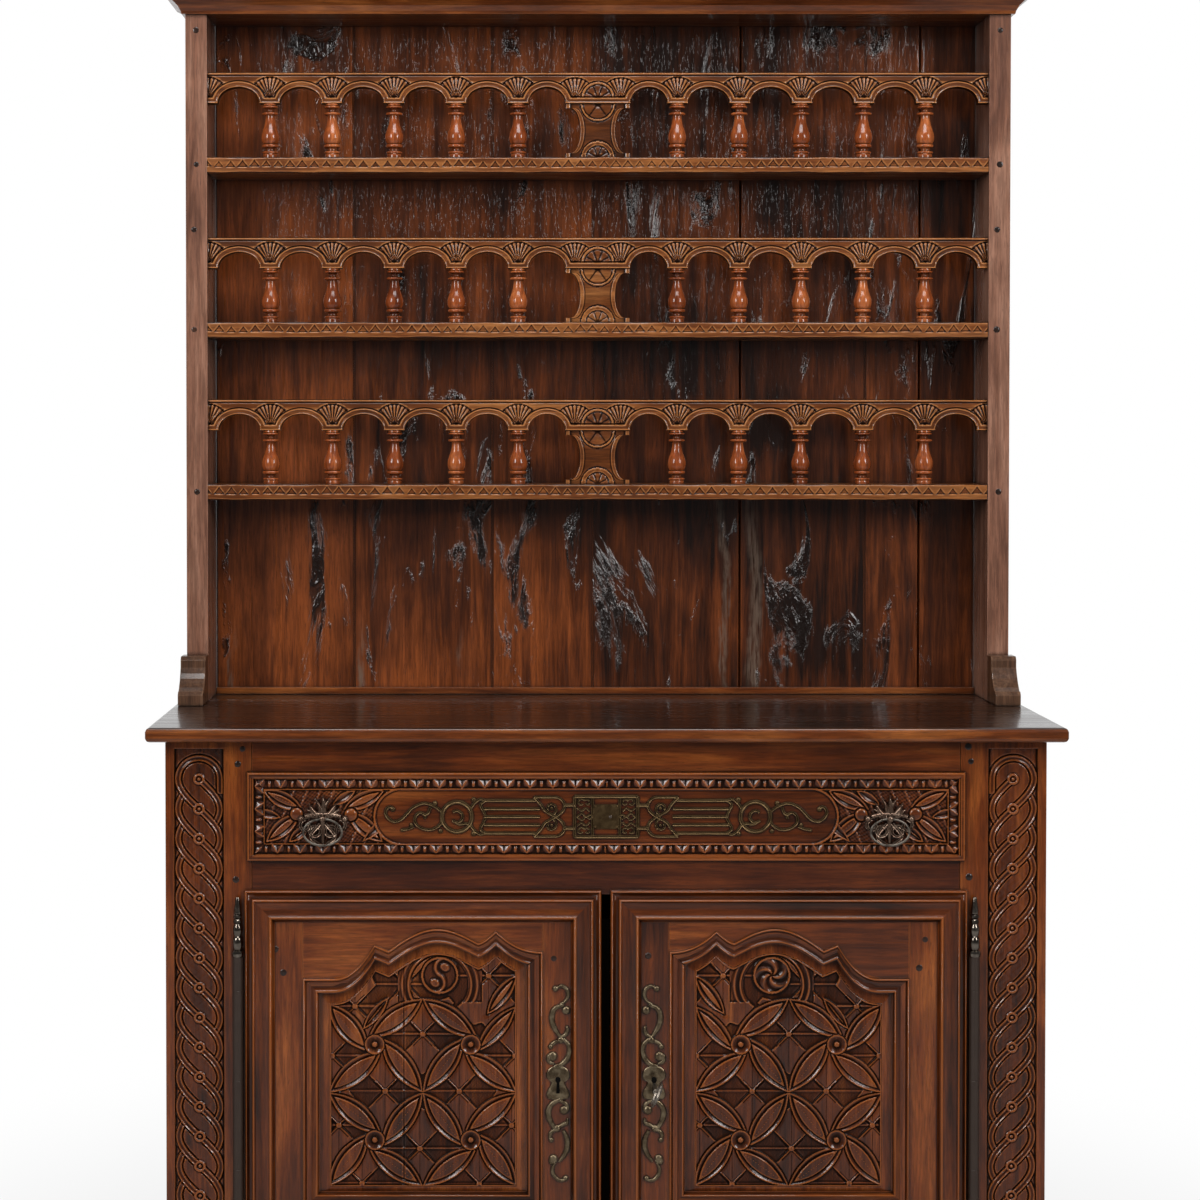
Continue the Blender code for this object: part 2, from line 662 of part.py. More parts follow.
def make_fretwork():
    """Pierced mount along the drawer: a framed lock plate between two chains of scrolls and bars."""
    back_y = DRAWER_FACE_Y + CARTOUCHE_DEPTH - GAP
    front_y = back_y - FRET_THICK
    tall = FRET_HEIGHT / 2
    levels = (DRAWER_MID_Z - tall, DRAWER_MID_Z + tall)
    plate = box("drawer_fretwork", (-FRET_PLATE_HALF, FRET_PLATE_HALF), (front_y, back_y), levels)
    cut_depth = (front_y - FRET_THICK, back_y + FRET_THICK)
    window = (FRET_PLATE_HALF * 0.46, FRET_PLATE_HALF - FRET_BAND)
    window_levels = (levels[0] + FRET_BAND, levels[1] - FRET_BAND)
    keyhole = [(KEY_SHANK, y) for y in cut_depth]
    cutters = [turned("fret_keyhole", keyhole, (0, 0, DRAWER_MID_Z), along="Y")]
    straps = []
    for hand, sign in sides():
        xs = (sign * window[0], sign * window[1])
        cutters.append(box("fret_window", xs, cut_depth, window_levels))
        for first, second in ((0, 1), (1, 0)):
            path = [(xs[0] - sign * FRET_BAND / 4, window_levels[first])]
            path.append((xs[1] + sign * FRET_BAND / 4, window_levels[second]))
            straps.append(strap("fret_lattice", path, FRET_BAND * 0.6, back_y, front_y))
        for path, ring in fret_paths():
            placed = [(sign * x, DRAWER_MID_Z + z) for x, z in path]
            straps.append(strap("fret_scroll", placed, FRET_BAND, back_y, front_y, ring))
    combine(plate, cutters, "DIFFERENCE")
    combine(plate, straps, "UNION")
    give_finish(plate, "bronze")
    return plate


def make_handle_plate(hand, sign):
    """Crown-shaped plate with a pierced eye that carries the ring pull."""
    middle_z = PULL_Z - EYE_RADIUS
    outline = []
    for k in range(PLATE_POINTS):
        angle = 2 * math.pi * k / PLATE_POINTS
        flame = 1 + 0.16 * max(0.0, math.sin(angle)) * math.cos(10 * angle)
        x = sign * PULL_X + PLATE_WIDTH / 2 * math.cos(angle) * flame
        outline.append((x, middle_z + PLATE_HEIGHT / 2 * math.sin(angle) * flame))
    back_y = DRAWER_FACE_Y - GAP
    front_y = back_y - PLATE_THICK
    plate = prism(f"handle_plate_{hand}", outline, "XZ", front_y, back_y)
    eye = [(0.6, -PLATE_THICK / 2), (0.6, EYE_REACH * 0.2), (0.85, EYE_REACH * 0.6)]
    eye += [(1.0, EYE_REACH), (0.8, EYE_REACH * 1.6), (0.3, EYE_REACH * 1.9)]
    at = (sign * PULL_X, front_y, PULL_Z)
    post = turned("handle_eye", [(r * EYE_RADIUS, -h) for r, h in eye], at, along="Y")
    combine(plate, [post], "UNION")
    bore_at = (sign * PULL_X, front_y - EYE_REACH, PULL_Z)
    reach = EYE_RADIUS * 1.5
    bore = turned("eye_bore", [(EYE_BORE, -reach), (EYE_BORE, reach)], bore_at, along="X")
    combine(plate, [bore], "DIFFERENCE")
    give_finish(plate, "iron")
    return plate


def hoop(name, centre, across, along, half_across, half_along, wire):
    """An oval ring of round wire in the plane of two directions."""
    normal = across.cross(along)
    rings = []
    for k in range(HOOP_STEPS):
        angle = 2 * math.pi * k / HOOP_STEPS
        out = across * math.cos(angle) * half_along + along * math.sin(angle) * half_across
        out.normalize()
        middle = centre + across * half_across * math.cos(angle) + along * half_along * math.sin(angle)
        ring = []
        for j in range(WIRE_SIDES):
            turn = 2 * math.pi * j / WIRE_SIDES
            ring.append(tuple(middle + out * wire * math.cos(turn) + normal * wire * math.sin(turn)))
        rings.append(ring)
    obj = loft(name, rings, closed=True)
    round_shading(obj)
    return obj


def make_ring_pull(hand, sign):
    """Oval ring that hangs through the eye of its plate."""
    pivot = Vector((sign * PULL_X, DRAWER_FACE_Y - GAP - PLATE_THICK - EYE_REACH, PULL_Z))
    centre = pivot - Vector((0, 0, RING_HALF_HEIGHT))
    size = (RING_HALF_WIDTH, RING_HALF_HEIGHT, RING_WIRE)
    ring = hoop(f"ring_pull_{hand}", centre, Vector((1, 0, 0)), Vector((0, 0, 1)), *size)
    give_finish(ring, "iron")
    carry(axis_empty(f"ring_axis_{hand}", pivot), [ring])


def make_drawer():
    pieces = [make_drawer_front(), make_fretwork()] + make_drawer_box()
    for hand, sign in sides():
        pieces.append(make_handle_plate(hand, sign))
        make_ring_pull(hand, sign)
    carry(axis_empty("drawer_slide", (0, FRONT_Y, DRAWER_MID_Z)), pieces)


# Doors


def outer_section():
    """Front of a frame member, (distance from the door's edge, height), as far as the flat."""
    points = [(0.0, 0.6 * BEAD_PROUD), (0.3 * BEAD_WIDTH, BEAD_PROUD)]
    points += [(0.8 * BEAD_WIDTH, BEAD_PROUD), (BEAD_WIDTH, 0.8 * BEAD_PROUD)]
    for share, height in ((0.10, 0.65), (0.25, 0.95), (0.45, 1.0), (0.65, 0.90), (0.85, 0.76)):
        points.append((BEAD_WIDTH + share * BOLECTION_WIDTH, height * BOLECTION_PROUD))
    return points + [(MITRE, FLAT_PROUD)]


def inner_section():
    """Section of the moulding round the panel, with a tongue that joins it to the flat."""
    points = [(FLAT_END, FLAT_PROUD)]
    for share, height in ((0.06, 1.17), (0.30, 1.17), (0.50, 0.85), (0.75, 0.25), (1.0, 0.08)):
        points.append((FLAT_END + share * INNER_MOULDING, height * FLAT_PROUD))
    rebate = SIGHT - REBATE_WIDTH
    points += [(SIGHT, -REBATE_DEPTH), (rebate, -REBATE_DEPTH), (rebate, -DOOR_BODY)]
    points += [(FLAT_END, -DOOR_BODY), (FLAT_END - TONGUE, TONGUE - DOOR_BODY)]
    return points + [(FLAT_END - TONGUE, FLAT_PROUD - TONGUE)]


def inner_section_caps():
    """End faces of that moulding, folded where its tongue starts."""
    last = len(inner_section()) - 1
    return [range(last - 1), (last - 2, last - 1, last, 0)]


def hinge_side_x(sign, u):
    return sign * (DOOR_OUTER - u)


def lock_side_x(sign, u):
    return sign * (DOOR_INNER + u)


def arch_rise(share):
    """Height of the panel's head above its hinge-side corner, from the hinge side to the lock side."""
    peak, valley = 0.678 * ARCH_RISE, 0.558 * ARCH_RISE
    far_valley, far_peak = 0.717 * ARCH_RISE, 0.957 * ARCH_RISE
    if share <= 0.125:
        return 0.0
    if share <= 0.300:
        return peak * ((share - 0.125) / 0.175) ** 2.2
    if share <= 0.358:
        return peak + (valley - peak) * (share - 0.300) / 0.058
    if share <= 0.729:
        t = (share - 0.358) / 0.371
        chord = valley + (far_valley - valley) * t
        return chord + (ARCH_RISE - (valley + far_valley) / 2) * math.sin(math.pi * t)
    if share <= 0.804:
        return far_valley + (far_peak - far_valley) * ((share - 0.729) / 0.075) ** 1.5
    return ARCH_CORNER_STEP + (far_peak - ARCH_CORNER_STEP) * ((1 - share) / 0.196) ** 2.2


def arch_points(sign, inset, drop):
    """Points along the panel's head between two insets from its corners, lowered by drop."""
    start = hinge_side_x(sign, FLAT_END)
    span = lock_side_x(sign, FLAT_END) - start
    edge = inset / abs(span)
    inner = [s for s in ARCH_STATIONS if edge < s < 1 - edge]
    points = []
    for s in [edge] + inner + [1 - edge]:
        points.append((start + s * span, ARCH_CORNER_Z + arch_rise(s) - drop))
    return points


def make_door_stile(name, sign, x_of, corner_z):
    """Upright of a door's frame: mitred outer moulding, flat, and mitred moulding by the panel."""
    seat = DOOR_LIP + RUN
    front = outer_section()
    section = front + [(FLAT_END, FLAT_PROUD), (FLAT_END, -DOOR_BODY), (MITRE, -DOOR_BODY)]
    section += [(seat, -DOOR_BODY), (seat, GAP), (0.0, GAP)]
    fold = len(front) - 1
    back_fold = fold + 3
    count = len(section)
    caps = [range(fold, back_fold + 1), list(range(fold + 1)) + list(range(back_fold, count))]
    rings = []
    for edge, way in ((DOOR_LOW_Z, 1), (DOOR_HIGH_Z, -1)):
        ring = []
        for u, h in section:
            inset = min(u / MITRE, 1.0) * (MITRE + GAP)
            ring.append((x_of(sign, u), FRONT_Y - h, edge + way * inset))
        rings.append(ring)
    stile = loft(name, rings, caps=caps)
    rings = []
    for corner, way in ((DOOR_LOW_Z + FLAT_END, 1), (corner_z, -1)):
        ring = []
        for u, h in inner_section():
            inset = max(u - FLAT_END, 0.0)
            ring.append((x_of(sign, u), FRONT_Y - h, corner + way * inset))
        rings.append(ring)
    moulding = loft("stile_moulding", rings, caps=inner_section_caps())
    return combine(stile, [moulding], "UNION")


def rail_moulding(name, sign, edge, way):
    """Mitred outer moulding of a door's rail; way is the direction from its edge inwards."""
    seat = DOOR_LIP + RUN
    section = outer_section() + [(MITRE, -DOOR_BODY), (seat, -DOOR_BODY), (seat, GAP), (0.0, GAP)]
    rings = []
    for x_of in (hinge_side_x, lock_side_x):
        ring = []
        for u, h in section:
            ring.append((x_of(sign, u + GAP), FRONT_Y - h, edge + way * u))
        rings.append(ring)
    return loft(name, rings)


def rail_span(sign):
    """The rail's two ends, between the flats of the stiles."""
    return (hinge_side_x(sign, FLAT_END + GAP), lock_side_x(sign, FLAT_END + GAP))


def make_bottom_rail(name, sign):
    """Lower rail: outer moulding, flat and the moulding under the panel."""
    rail = rail_moulding(name, sign, DOOR_LOW_Z, 1)
    flat = box(
        "rail_flat",
        rail_span(sign),
        (FRONT_Y - FLAT_PROUD, FRONT_Y + DOOR_BODY - GAP),
        (DOOR_LOW_Z + MITRE - TONGUE, DOOR_LOW_Z + FLAT_END),
    )
    rings = []
    for x_of in (hinge_side_x, lock_side_x):
        ring = []
        for u, h in inner_section():
            ring.append((x_of(sign, max(u, FLAT_END) + GAP), FRONT_Y - h, DOOR_LOW_Z + u))
        rings.append(ring)
    moulding = loft("sight_moulding", rings, caps=inner_section_caps())
    return combine(rail, [flat, moulding], "UNION")


def make_top_rail(name, sign):
    """Upper rail with the shaped arch: cove, cusp, round head, cusp and cove, with its moulding."""
    rail = rail_moulding(name, sign, DOOR_HIGH_Z, -1)
    head = DOOR_HIGH_Z - MITRE + TONGUE
    low_edge = arch_points(sign, GAP, 0.0)
    outline = low_edge + [(low_edge[-1][0], head), (low_edge[0][0], head)]
    flat = prism("rail_flat", outline, "XZ", FRONT_Y - FLAT_PROUD, FRONT_Y + REBATE_DEPTH)
    behind = box(
        "rail_back",
        rail_span(sign),
        (FRONT_Y + REBATE_DEPTH - TONGUE, FRONT_Y + DOOR_BODY - GAP),
        (PANEL_TOP_Z + GAP, head),
    )
    start = hinge_side_x(sign, FLAT_END)
    span = lock_side_x(sign, FLAT_END) - start
    inward = 1 if span > 0 else -1
    section = []
    for u, h in inner_section():
        if h > -DOOR_BODY + TONGUE / 2 and u >= FLAT_END:
            section.append((u - FLAT_END, h))
    section += [(0.0, -REBATE_DEPTH), (-TONGUE, TONGUE - REBATE_DEPTH), (-TONGUE, FLAT_PROUD - TONGUE)]
    fold = len(section) - 3
    caps = [range(fold + 1), (fold, fold + 1, fold + 2, 0)]
    rings = []
    for station in ARCH_STATIONS:
        ring = []
        for drop, h in section:
            x = start + station * span
            if station in (0.0, 1.0):
                way = inward if station == 0.0 else -inward
                x += way * (max(drop, 0.0) + GAP)
            z = ARCH_CORNER_Z + arch_rise(station) - drop
            ring.append((x, FRONT_Y - h, z))
        rings.append(ring)
    moulding = loft("arch_moulding", rings, caps=caps)
    return combine(rail, [flat, behind, moulding], "UNION")


def make_panel(name, sign):
    """Panel with a raised field that follows the arch; the field carries the carving."""
    held = SIGHT - REBATE_WIDTH + GAP
    face_y = FRONT_Y + REBATE_DEPTH + GAP
    panel = box(
        name,
        (hinge_side_x(sign, held), lock_side_x(sign, held)),
        (face_y, face_y + PANEL_THICK),
        (DOOR_LOW_Z + held, PANEL_TOP_Z),
    )
    margin = INNER_MOULDING + FIELD_MARGIN
    head = arch_points(sign, margin, margin)
    low = DOOR_LOW_Z + FLAT_END + margin
    outline = head + [(head[-1][0], low), (head[0][0], low)]
    field = prism("field", outline, "XZ", face_y - FIELD_RISE, face_y + PANEL_THICK / 2)
    return combine(panel, [field], "UNION")


def escutcheon_paths():
    """Centre lines of the upper half of a scrolled lock plate, above its keyhole."""
    unit = ESCUTCHEON_HALF
    reach = unit * 0.115
    paths = [arc((0, 0.215 * unit), reach * 0.95, 215, 505, 7)]
    paths.append(arc((0, 0.470 * unit), reach, -40, -320, 7))
    paths.append(arc((0, 0.745 * unit), reach * 1.02, 205, 480, 7))
    paths.append([(0, 0.06 * unit), (0, 0.118 * unit)])
    paths.append([(0, 0.310 * unit), (0, 0.368 * unit)])
    paths.append([(0, 0.572 * unit), (0, 0.640 * unit)])
    paths.append(bend((0, 0.850 * unit), (0.03 * unit, 0.94 * unit), (-0.02 * unit, 1.0 * unit), 4))
    return paths


def keyhole_cutter(sign, front_y, back_y):
    """Round hole for the key's shank."""
    at = (lock_side_x(sign, ESCUTCHEON_INSET), 0, LOCK_Z)
    radius = (KEY_SHANK + KEYHOLE_CLEAR) / math.cos(math.pi / HOLE_SIDES)
    return turned("keyhole", [(radius, front_y), (radius, back_y)], at, sides=HOLE_SIDES, along="Y")


def make_escutcheon(hand, sign):
    """Scrolled iron lock plate: a chain of C-scrolls above and below the keyhole."""
    back_y = FRONT_Y - FLAT_PROUD - GAP
    front_y = back_y - ESCUTCHEON_THICK
    middle_x = lock_side_x(sign, ESCUTCHEON_INSET)
    disc = [(ESCUTCHEON_DISC, back_y), (ESCUTCHEON_DISC, front_y)]
    plate = turned(f"escutcheon_{hand}", disc, (middle_x, 0, LOCK_Z), sides=12, along="Y")
    straps = []
    for up in (1, -1):
        for path in escutcheon_paths():
            placed = [(middle_x - sign * x, LOCK_Z + up * z) for x, z in path]
            straps.append(strap("scroll", placed, ESCUTCHEON_BAND, back_y, front_y))
    combine(plate, straps, "UNION")
    depth = ESCUTCHEON_THICK * 2
    combine(plate, [keyhole_cutter(sign, front_y - depth, back_y + depth)], "DIFFERENCE")
    give_finish(plate, "iron")
    return plate


def make_lock(sign):
    """Lock case behind the lock stile, open for its bolt at the edge and for the key in front."""
    back_y = FRONT_Y + DOOR_BODY + GAP
    edge = DOOR_INNER + DOOR_LIP + RUN
    xs = (sign * edge, sign * (edge + LOCK_WIDTH))
    levels = (LOCK_Z - LOCK_HEIGHT / 2, LOCK_Z + LOCK_HEIGHT / 2)
    case = box("lock_case", xs, (back_y, back_y + LOCK_DEPTH), levels)
    bolt_y = back_y + (LOCK_DEPTH - BOLT_THICK) / 2
    bolt_z = LOCK_Z + BOLT_RISE
    slot = box(
        "bolt_slot",
        (sign * (edge - RUN), sign * (edge + BOLT_LENGTH + RUN)),
        (bolt_y - GAP, bolt_y + BOLT_THICK + GAP),
        (bolt_z - GAP, bolt_z + BOLT_HEIGHT + GAP),
    )
    radius = KEY_BIT + RUN
    at = (lock_side_x(sign, ESCUTCHEON_INSET), back_y, LOCK_Z)
    ward = turned("key_ward", [(radius, -RUN), (radius, LOCK_DEPTH - RUN * 2)], at, sides=12, along="Y")
    combine(case, [slot, ward], "DIFFERENCE")
    give_finish(case, "iron")
    bolt = box(
        "lock_bolt",
        (sign * edge, sign * (edge + BOLT_LENGTH)),
        (bolt_y, bolt_y + BOLT_THICK),
        (bolt_z, bolt_z + BOLT_HEIGHT),
    )
    give_finish(bolt, "iron")
    carry(axis_empty("bolt_slide", (sign * edge, bolt_y, bolt_z)), [bolt])
    return case


def make_key(sign):
    """Key in the lock: oval bow, collared shank and bit."""
    middle_x = lock_side_x(sign, ESCUTCHEON_INSET)
    tip_y = FRONT_Y - DOOR_PROUD - KEY_REACH
    bow_y = tip_y + KEY_BOW_HALF_WIDTH + KEY_BOW_WIRE
    up = Vector((math.sin(KEY_BOW_TURN), 0, math.cos(KEY_BOW_TURN)))
    bow_size = (KEY_BOW_HALF_WIDTH, KEY_BOW_HALF_HEIGHT, KEY_BOW_WIRE)
    centre = Vector((middle_x, bow_y, LOCK_Z))
    key = hoop("door_key", centre, Vector((0, 1, 0)), up, *bow_size)
    start = bow_y + KEY_BOW_HALF_WIDTH
    end = FRONT_Y + DOOR_BODY + LOCK_DEPTH - RUN * 3
    collar = KEY_SHANK * 1.6
    shank = [(KEY_SHANK, start), (KEY_SHANK, start + KEY_COLLAR), (collar, start + KEY_COLLAR * 1.2)]
    shank += [(collar, start + KEY_COLLAR * 1.8), (KEY_SHANK, start + KEY_COLLAR * 2), (KEY_SHANK, end)]
    stem = turned("key_stem", shank, (middle_x, 0, LOCK_Z), along="Y")
    half = KEY_SHANK * 0.4
    bit = box(
        "key_bit",
        (middle_x - half, middle_x + half),
        (FRONT_Y + DOOR_BODY + RUN * 2, end - RUN),
        (LOCK_Z - KEY_BIT, LOCK_Z),
    )
    combine(key, [stem, bit], "UNION")
    round_shading(key)
    give_finish(key, "iron")
    carry(axis_empty("key_axis", (middle_x, FRONT_Y, LOCK_Z)), [key])


def make_door(hand, sign):
    """One door; the left one covers the meeting gap with a strip, the right one holds the lock."""
    far_corner = ARCH_CORNER_Z + ARCH_CORNER_STEP
    hinge_stile = make_door_stile(f"door_{hand}_hinge_stile", sign, hinge_side_x, ARCH_CORNER_Z)
    lock_stile = make_door_stile(f"door_{hand}_lock_stile", sign, lock_side_x, far_corner)
    top = make_top_rail(f"door_{hand}_top_rail", sign)
    bottom = make_bottom_rail(f"door_{hand}_bottom_rail", sign)
    panel = make_panel(f"door_{hand}_panel", sign)
    if hand == "left":
        seat = lock_side_x(sign, DOOR_LIP + RUN + TONGUE)
        strip = box(
            "meeting_strip",
            (seat, -sign * (DOOR_INNER - TONGUE)),
            (FRONT_Y + REBATE_DEPTH, FRONT_Y + DOOR_BODY - GAP),
            (DOOR_LOW_Z + MITRE, DOOR_HIGH_Z - MITRE),
        )
        combine(lock_stile, [strip], "UNION")
    else:
        hole = keyhole_cutter(sign, FRONT_Y - DOOR_PROUD * 2, FRONT_Y + DOOR_BODY * 2)
        combine(lock_stile, [hole], "DIFFERENCE")
    pieces = [hinge_stile, lock_stile, top, bottom, panel]
    for piece in pieces:
        give_finish(piece, "base_wood")
    pieces.append(make_escutcheon(hand, sign))
    if hand == "right":
        pieces.append(make_lock(sign))
        make_key(sign)
    carry(axis_empty(f"door_axis_{hand}", (sign * HINGE_X, HINGE_Y, DOOR_LOW_Z)), pieces)


# Hutch


def make_hutch_side(hand, sign):
    """Side board of the hutch and the moulded shoe in front of its foot."""
    side = box(
        f"hutch_side_{hand}",
        (sign * HUTCH_INNER, sign * HUTCH_HALF),
        (HUTCH_FRONT_Y, BACK_Y),
        (COUNTER_Z + GAP, CEILING_Z + CORNICE_HEIGHT - GAP),
    )
    give_finish(side, "hutch_wood")
    low = COUNTER_Z + GAP
    back = HUTCH_FRONT_Y - GAP
    toe = [(1.0, 0.0), (1.0, 0.22), (0.93, 0.30)]
    outline = [(back, low)] + [(back - SHOE_REACH * a, low + SHOE_HEIGHT * b) for a, b in toe]
    start = (back - SHOE_REACH * 0.86, low + SHOE_HEIGHT * 0.30)
    pull = (back - SHOE_TOP_REACH * 1.25, low + SHOE_HEIGHT * 0.45)
    outline += bend(start, pull, (back - SHOE_TOP_REACH, low + SHOE_HEIGHT * 0.76))
    cap = [(1.0, 0.92), (0.85, 1.0), (0.0, 1.0)]
    outline += [(back - SHOE_TOP_REACH * a, low + SHOE_HEIGHT * b) for a, b in cap]
    xs = sorted((sign * HUTCH_INNER, sign * (HUTCH_HALF + SHOE_OUTSET)))
    shoe = prism(f"hutch_foot_{hand}", outline, "YZ", *xs)
    give_finish(shoe, "hutch_wood")


def make_hutch_back():
    """Upright planks behind the shelves, and the skirting strip at their foot."""
    edges = [-HUTCH_INNER, *BACK_JOINTS, HUTCH_INNER]
    levels = (COUNTER_Z + GAP, CEILING_Z + CORNICE_HEIGHT - GAP)
    for k in range(len(edges) - 1):
        xs = (edges[k] + GAP, edges[k + 1] - GAP)
        plank = box(f"back_board_{k + 1}", xs, (HUTCH_BACK_FACE_Y, BACK_Y), levels)
        give_finish(plank, "back_wood")
    reach = HUTCH_INNER - GAP
    depth = (HUTCH_BACK_FACE_Y - GAP - SKIRTING_THICK, HUTCH_BACK_FACE_Y - GAP)
    skirting = box("back_skirting", (-reach, reach), depth, (levels[0], levels[0] + SKIRTING_HEIGHT))
    give_finish(skirting, "hutch_wood")


def make_cornice():
    """Mitred cornice round the front and sides: fillet, ovolo, fillet and crown moulding."""
    section = [(0.0, 0.0), (0.10, 0.0), (0.12, 0.06), (0.20, 0.16), (0.38, 0.28), (0.55, 0.33)]
    section += [(0.55, 0.42), (0.62, 0.50), (0.80, 0.66), (0.95, 0.74), (1.0, 0.78), (1.0, 1.0), (0.0, 1.0)]
    corners = [(-1, BACK_Y, 0), (-1, HUTCH_FRONT_Y, -1), (1, HUTCH_FRONT_Y, -1), (1, BACK_Y, 0)]
    rings = []
    for side, y, forward in corners:
        ring = []
        for reach, rise in section:
            out = GAP + reach * CORNICE_REACH
            ring.append((side * (HUTCH_HALF + out), y + forward * out, CEILING_Z + rise * CORNICE_HEIGHT))
        rings.append(ring)
    cornice = loft("cornice", rings)
    give_finish(cornice, "hutch_wood")
    reach = HUTCH_INNER - GAP
    depth = (HUTCH_FRONT_Y, HUTCH_BACK_FACE_Y - GAP)
    board = box("hutch_top_board", (-reach, reach), depth, (CEILING_Z, CEILING_Z + TOP_BOARD_THICK))
    give_finish(board, "hutch_wood")


def make_plate_shelf(number, top):
    """Shelf with its front arrises taken off."""
    reach = HUTCH_INNER - GAP
    front = HUTCH_FRONT_Y + SHELF_FRONT_SETBACK
    back = HUTCH_BACK_FACE_Y - GAP
    low = top - PLATE_SHELF_THICK
    ease = PLATE_SHELF_THICK * 0.08
    outline = [(back, low), (front + ease, low), (front, low + ease), (front, top - ease)]
    outline += [(front + ease, top), (back, top)]
    shelf = prism(f"plate_shelf_{number}", outline, "YZ", -reach, reach)
    give_finish(shelf, "hutch_wood")


def gallery_stations():
    """Places of the balusters on one side of the middle, the last arch ending at the post."""
    reach = HUTCH_INNER - GAP
    first = reach - BALUSTER_PITCH * BALUSTERS_PER_SIDE
    return [first + k * BALUSTER_PITCH for k in range(BALUSTERS_PER_SIDE)]


def gallery_rail_outline(low, high):
    """Arcaded rail: a low arch between each two balusters, seen from the front."""
    reach = HUTCH_INNER - GAP
    feet = [(-SPLAT_HALF, SPLAT_HALF)]
    for x in gallery_stations():
        feet += [(x - SPRINGER_HALF, x + SPRINGER_HALF), (-x - SPRINGER_HALF, -x + SPRINGER_HALF)]
    feet += [(reach - SPRINGER_HALF, reach), (-reach, -reach + SPRINGER_HALF)]
    feet.sort()
    outline = [(-reach, high)]
    for (start, end), (following, _) in zip(feet, feet[1:]):
        radius = (following - end) / 2
        outline.append((start, low))
        for x, z in arc((end + radius, 0.0), radius, 180, 0, ARCH_STEPS):
            outline.append((x, low + z / radius * GALLERY_ARCH_RISE))
    outline += [feet[-1], (reach, high)]
    outline[-2] = (reach, low)
    tidy = []
    for point in outline:
        if not tidy or math.dist(tidy[-1], point) > GAP:
            tidy.append(point)
    return tidy


def make_gallery(number, shelf_top):
    """Plate gallery: arcaded rail on turned balusters, with an hourglass splat in the middle."""
    foot = shelf_top + GAP
    low = foot + BALUSTER_HEIGHT
    high = low + GALLERY_RAIL_HEIGHT
    middle_y = HUTCH_FRONT_Y + SHELF_FRONT_SETBACK + BALUSTER_RADIUS + TONGUE
    depth = (middle_y - GALLERY_THICK / 2, middle_y + GALLERY_THICK / 2)
    gallery = prism(f"gallery_{number}", gallery_rail_outline(low, high), "XZ", *depth)
    turning = [(0.0, 0.82), (0.08, 0.82), (0.19, 0.40), (0.245, 0.85), (0.31, 0.45), (0.60, 1.0)]
    turning += [(0.72, 0.60), (0.77, 0.90), (0.84, 0.44), (0.90, 0.82), (1.0, 0.82)]
    profile = []
    for fall, width in reversed(turning):
        profile.append((width * BALUSTER_RADIUS, BALUSTER_HEIGHT * (1 - fall)))
    profile[-1] = (profile[-1][0] * 0.95, BALUSTER_HEIGHT + TONGUE)
    balusters = []
    for x in gallery_stations():
        for sign in (-1, 1):
            balusters.append(turned("baluster", profile, (sign * x, middle_y, foot)))
    mid_z = (foot + low) / 2
    ledge = BALUSTER_HEIGHT / 2 - SPLAT_LEDGE
    waist = []
    for k in range(ARCH_STEPS + 1):
        angle = math.pi * k / ARCH_STEPS
        x = SPLAT_HALF - SPLAT_LEDGE - (SPLAT_HALF - SPLAT_LEDGE - SPLAT_WAIST) * math.sin(angle)
        waist.append((x, mid_z - ledge * math.cos(angle)))
    right = [(SPLAT_HALF, foot), (SPLAT_HALF, foot + SPLAT_LEDGE)] + waist
    right += [(SPLAT_HALF, low - SPLAT_LEDGE), (SPLAT_HALF - TONGUE, low + TONGUE)]
    outline = right + [(-x, z) for x, z in reversed(right)]
    splat_depth = (middle_y - SPLAT_THICK / 2, middle_y + SPLAT_THICK / 2)
    splat = prism("splat", outline, "XZ", *splat_depth)
    combine(gallery, balusters + [splat], "UNION")
    round_shading(gallery)
    give_finish(gallery, "hutch_wood")


def make_hutch():
    for hand, sign in sides():
        make_hutch_side(hand, sign)
    make_hutch_back()
    make_cornice()
    for number, rise in enumerate(PLATE_SHELF_TOPS, start=1):
        make_plate_shelf(number, COUNTER_Z + rise)
        make_gallery(number, COUNTER_Z + rise)


make_base()
make_drawer()
for door_hand, door_sign in sides():
    make_door(door_hand, door_sign)
make_hutch()
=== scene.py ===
"""Looks of a carved provincial dresser: wood and metal finishes, relief carving, light and camera."""

import json
import math

import bmesh
import bpy
import numpy as np
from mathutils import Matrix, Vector

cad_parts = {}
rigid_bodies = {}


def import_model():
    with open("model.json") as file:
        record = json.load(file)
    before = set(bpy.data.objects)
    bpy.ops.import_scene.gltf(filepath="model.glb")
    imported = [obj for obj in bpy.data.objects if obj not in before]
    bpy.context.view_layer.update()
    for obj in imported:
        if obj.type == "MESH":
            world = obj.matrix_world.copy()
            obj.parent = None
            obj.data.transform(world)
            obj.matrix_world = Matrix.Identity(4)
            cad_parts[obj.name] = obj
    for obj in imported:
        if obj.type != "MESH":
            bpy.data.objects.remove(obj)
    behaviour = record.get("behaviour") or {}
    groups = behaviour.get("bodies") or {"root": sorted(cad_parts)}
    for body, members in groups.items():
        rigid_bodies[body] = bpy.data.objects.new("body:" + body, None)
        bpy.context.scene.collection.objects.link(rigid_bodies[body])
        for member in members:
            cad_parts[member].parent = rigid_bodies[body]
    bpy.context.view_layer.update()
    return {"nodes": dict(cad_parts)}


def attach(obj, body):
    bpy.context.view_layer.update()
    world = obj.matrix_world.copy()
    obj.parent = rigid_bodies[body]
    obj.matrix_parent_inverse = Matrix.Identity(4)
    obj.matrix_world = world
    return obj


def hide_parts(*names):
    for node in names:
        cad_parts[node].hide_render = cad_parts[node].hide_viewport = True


for stray in list(bpy.data.objects):
    bpy.data.objects.remove(stray)
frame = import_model()
NODES = frame["nodes"]

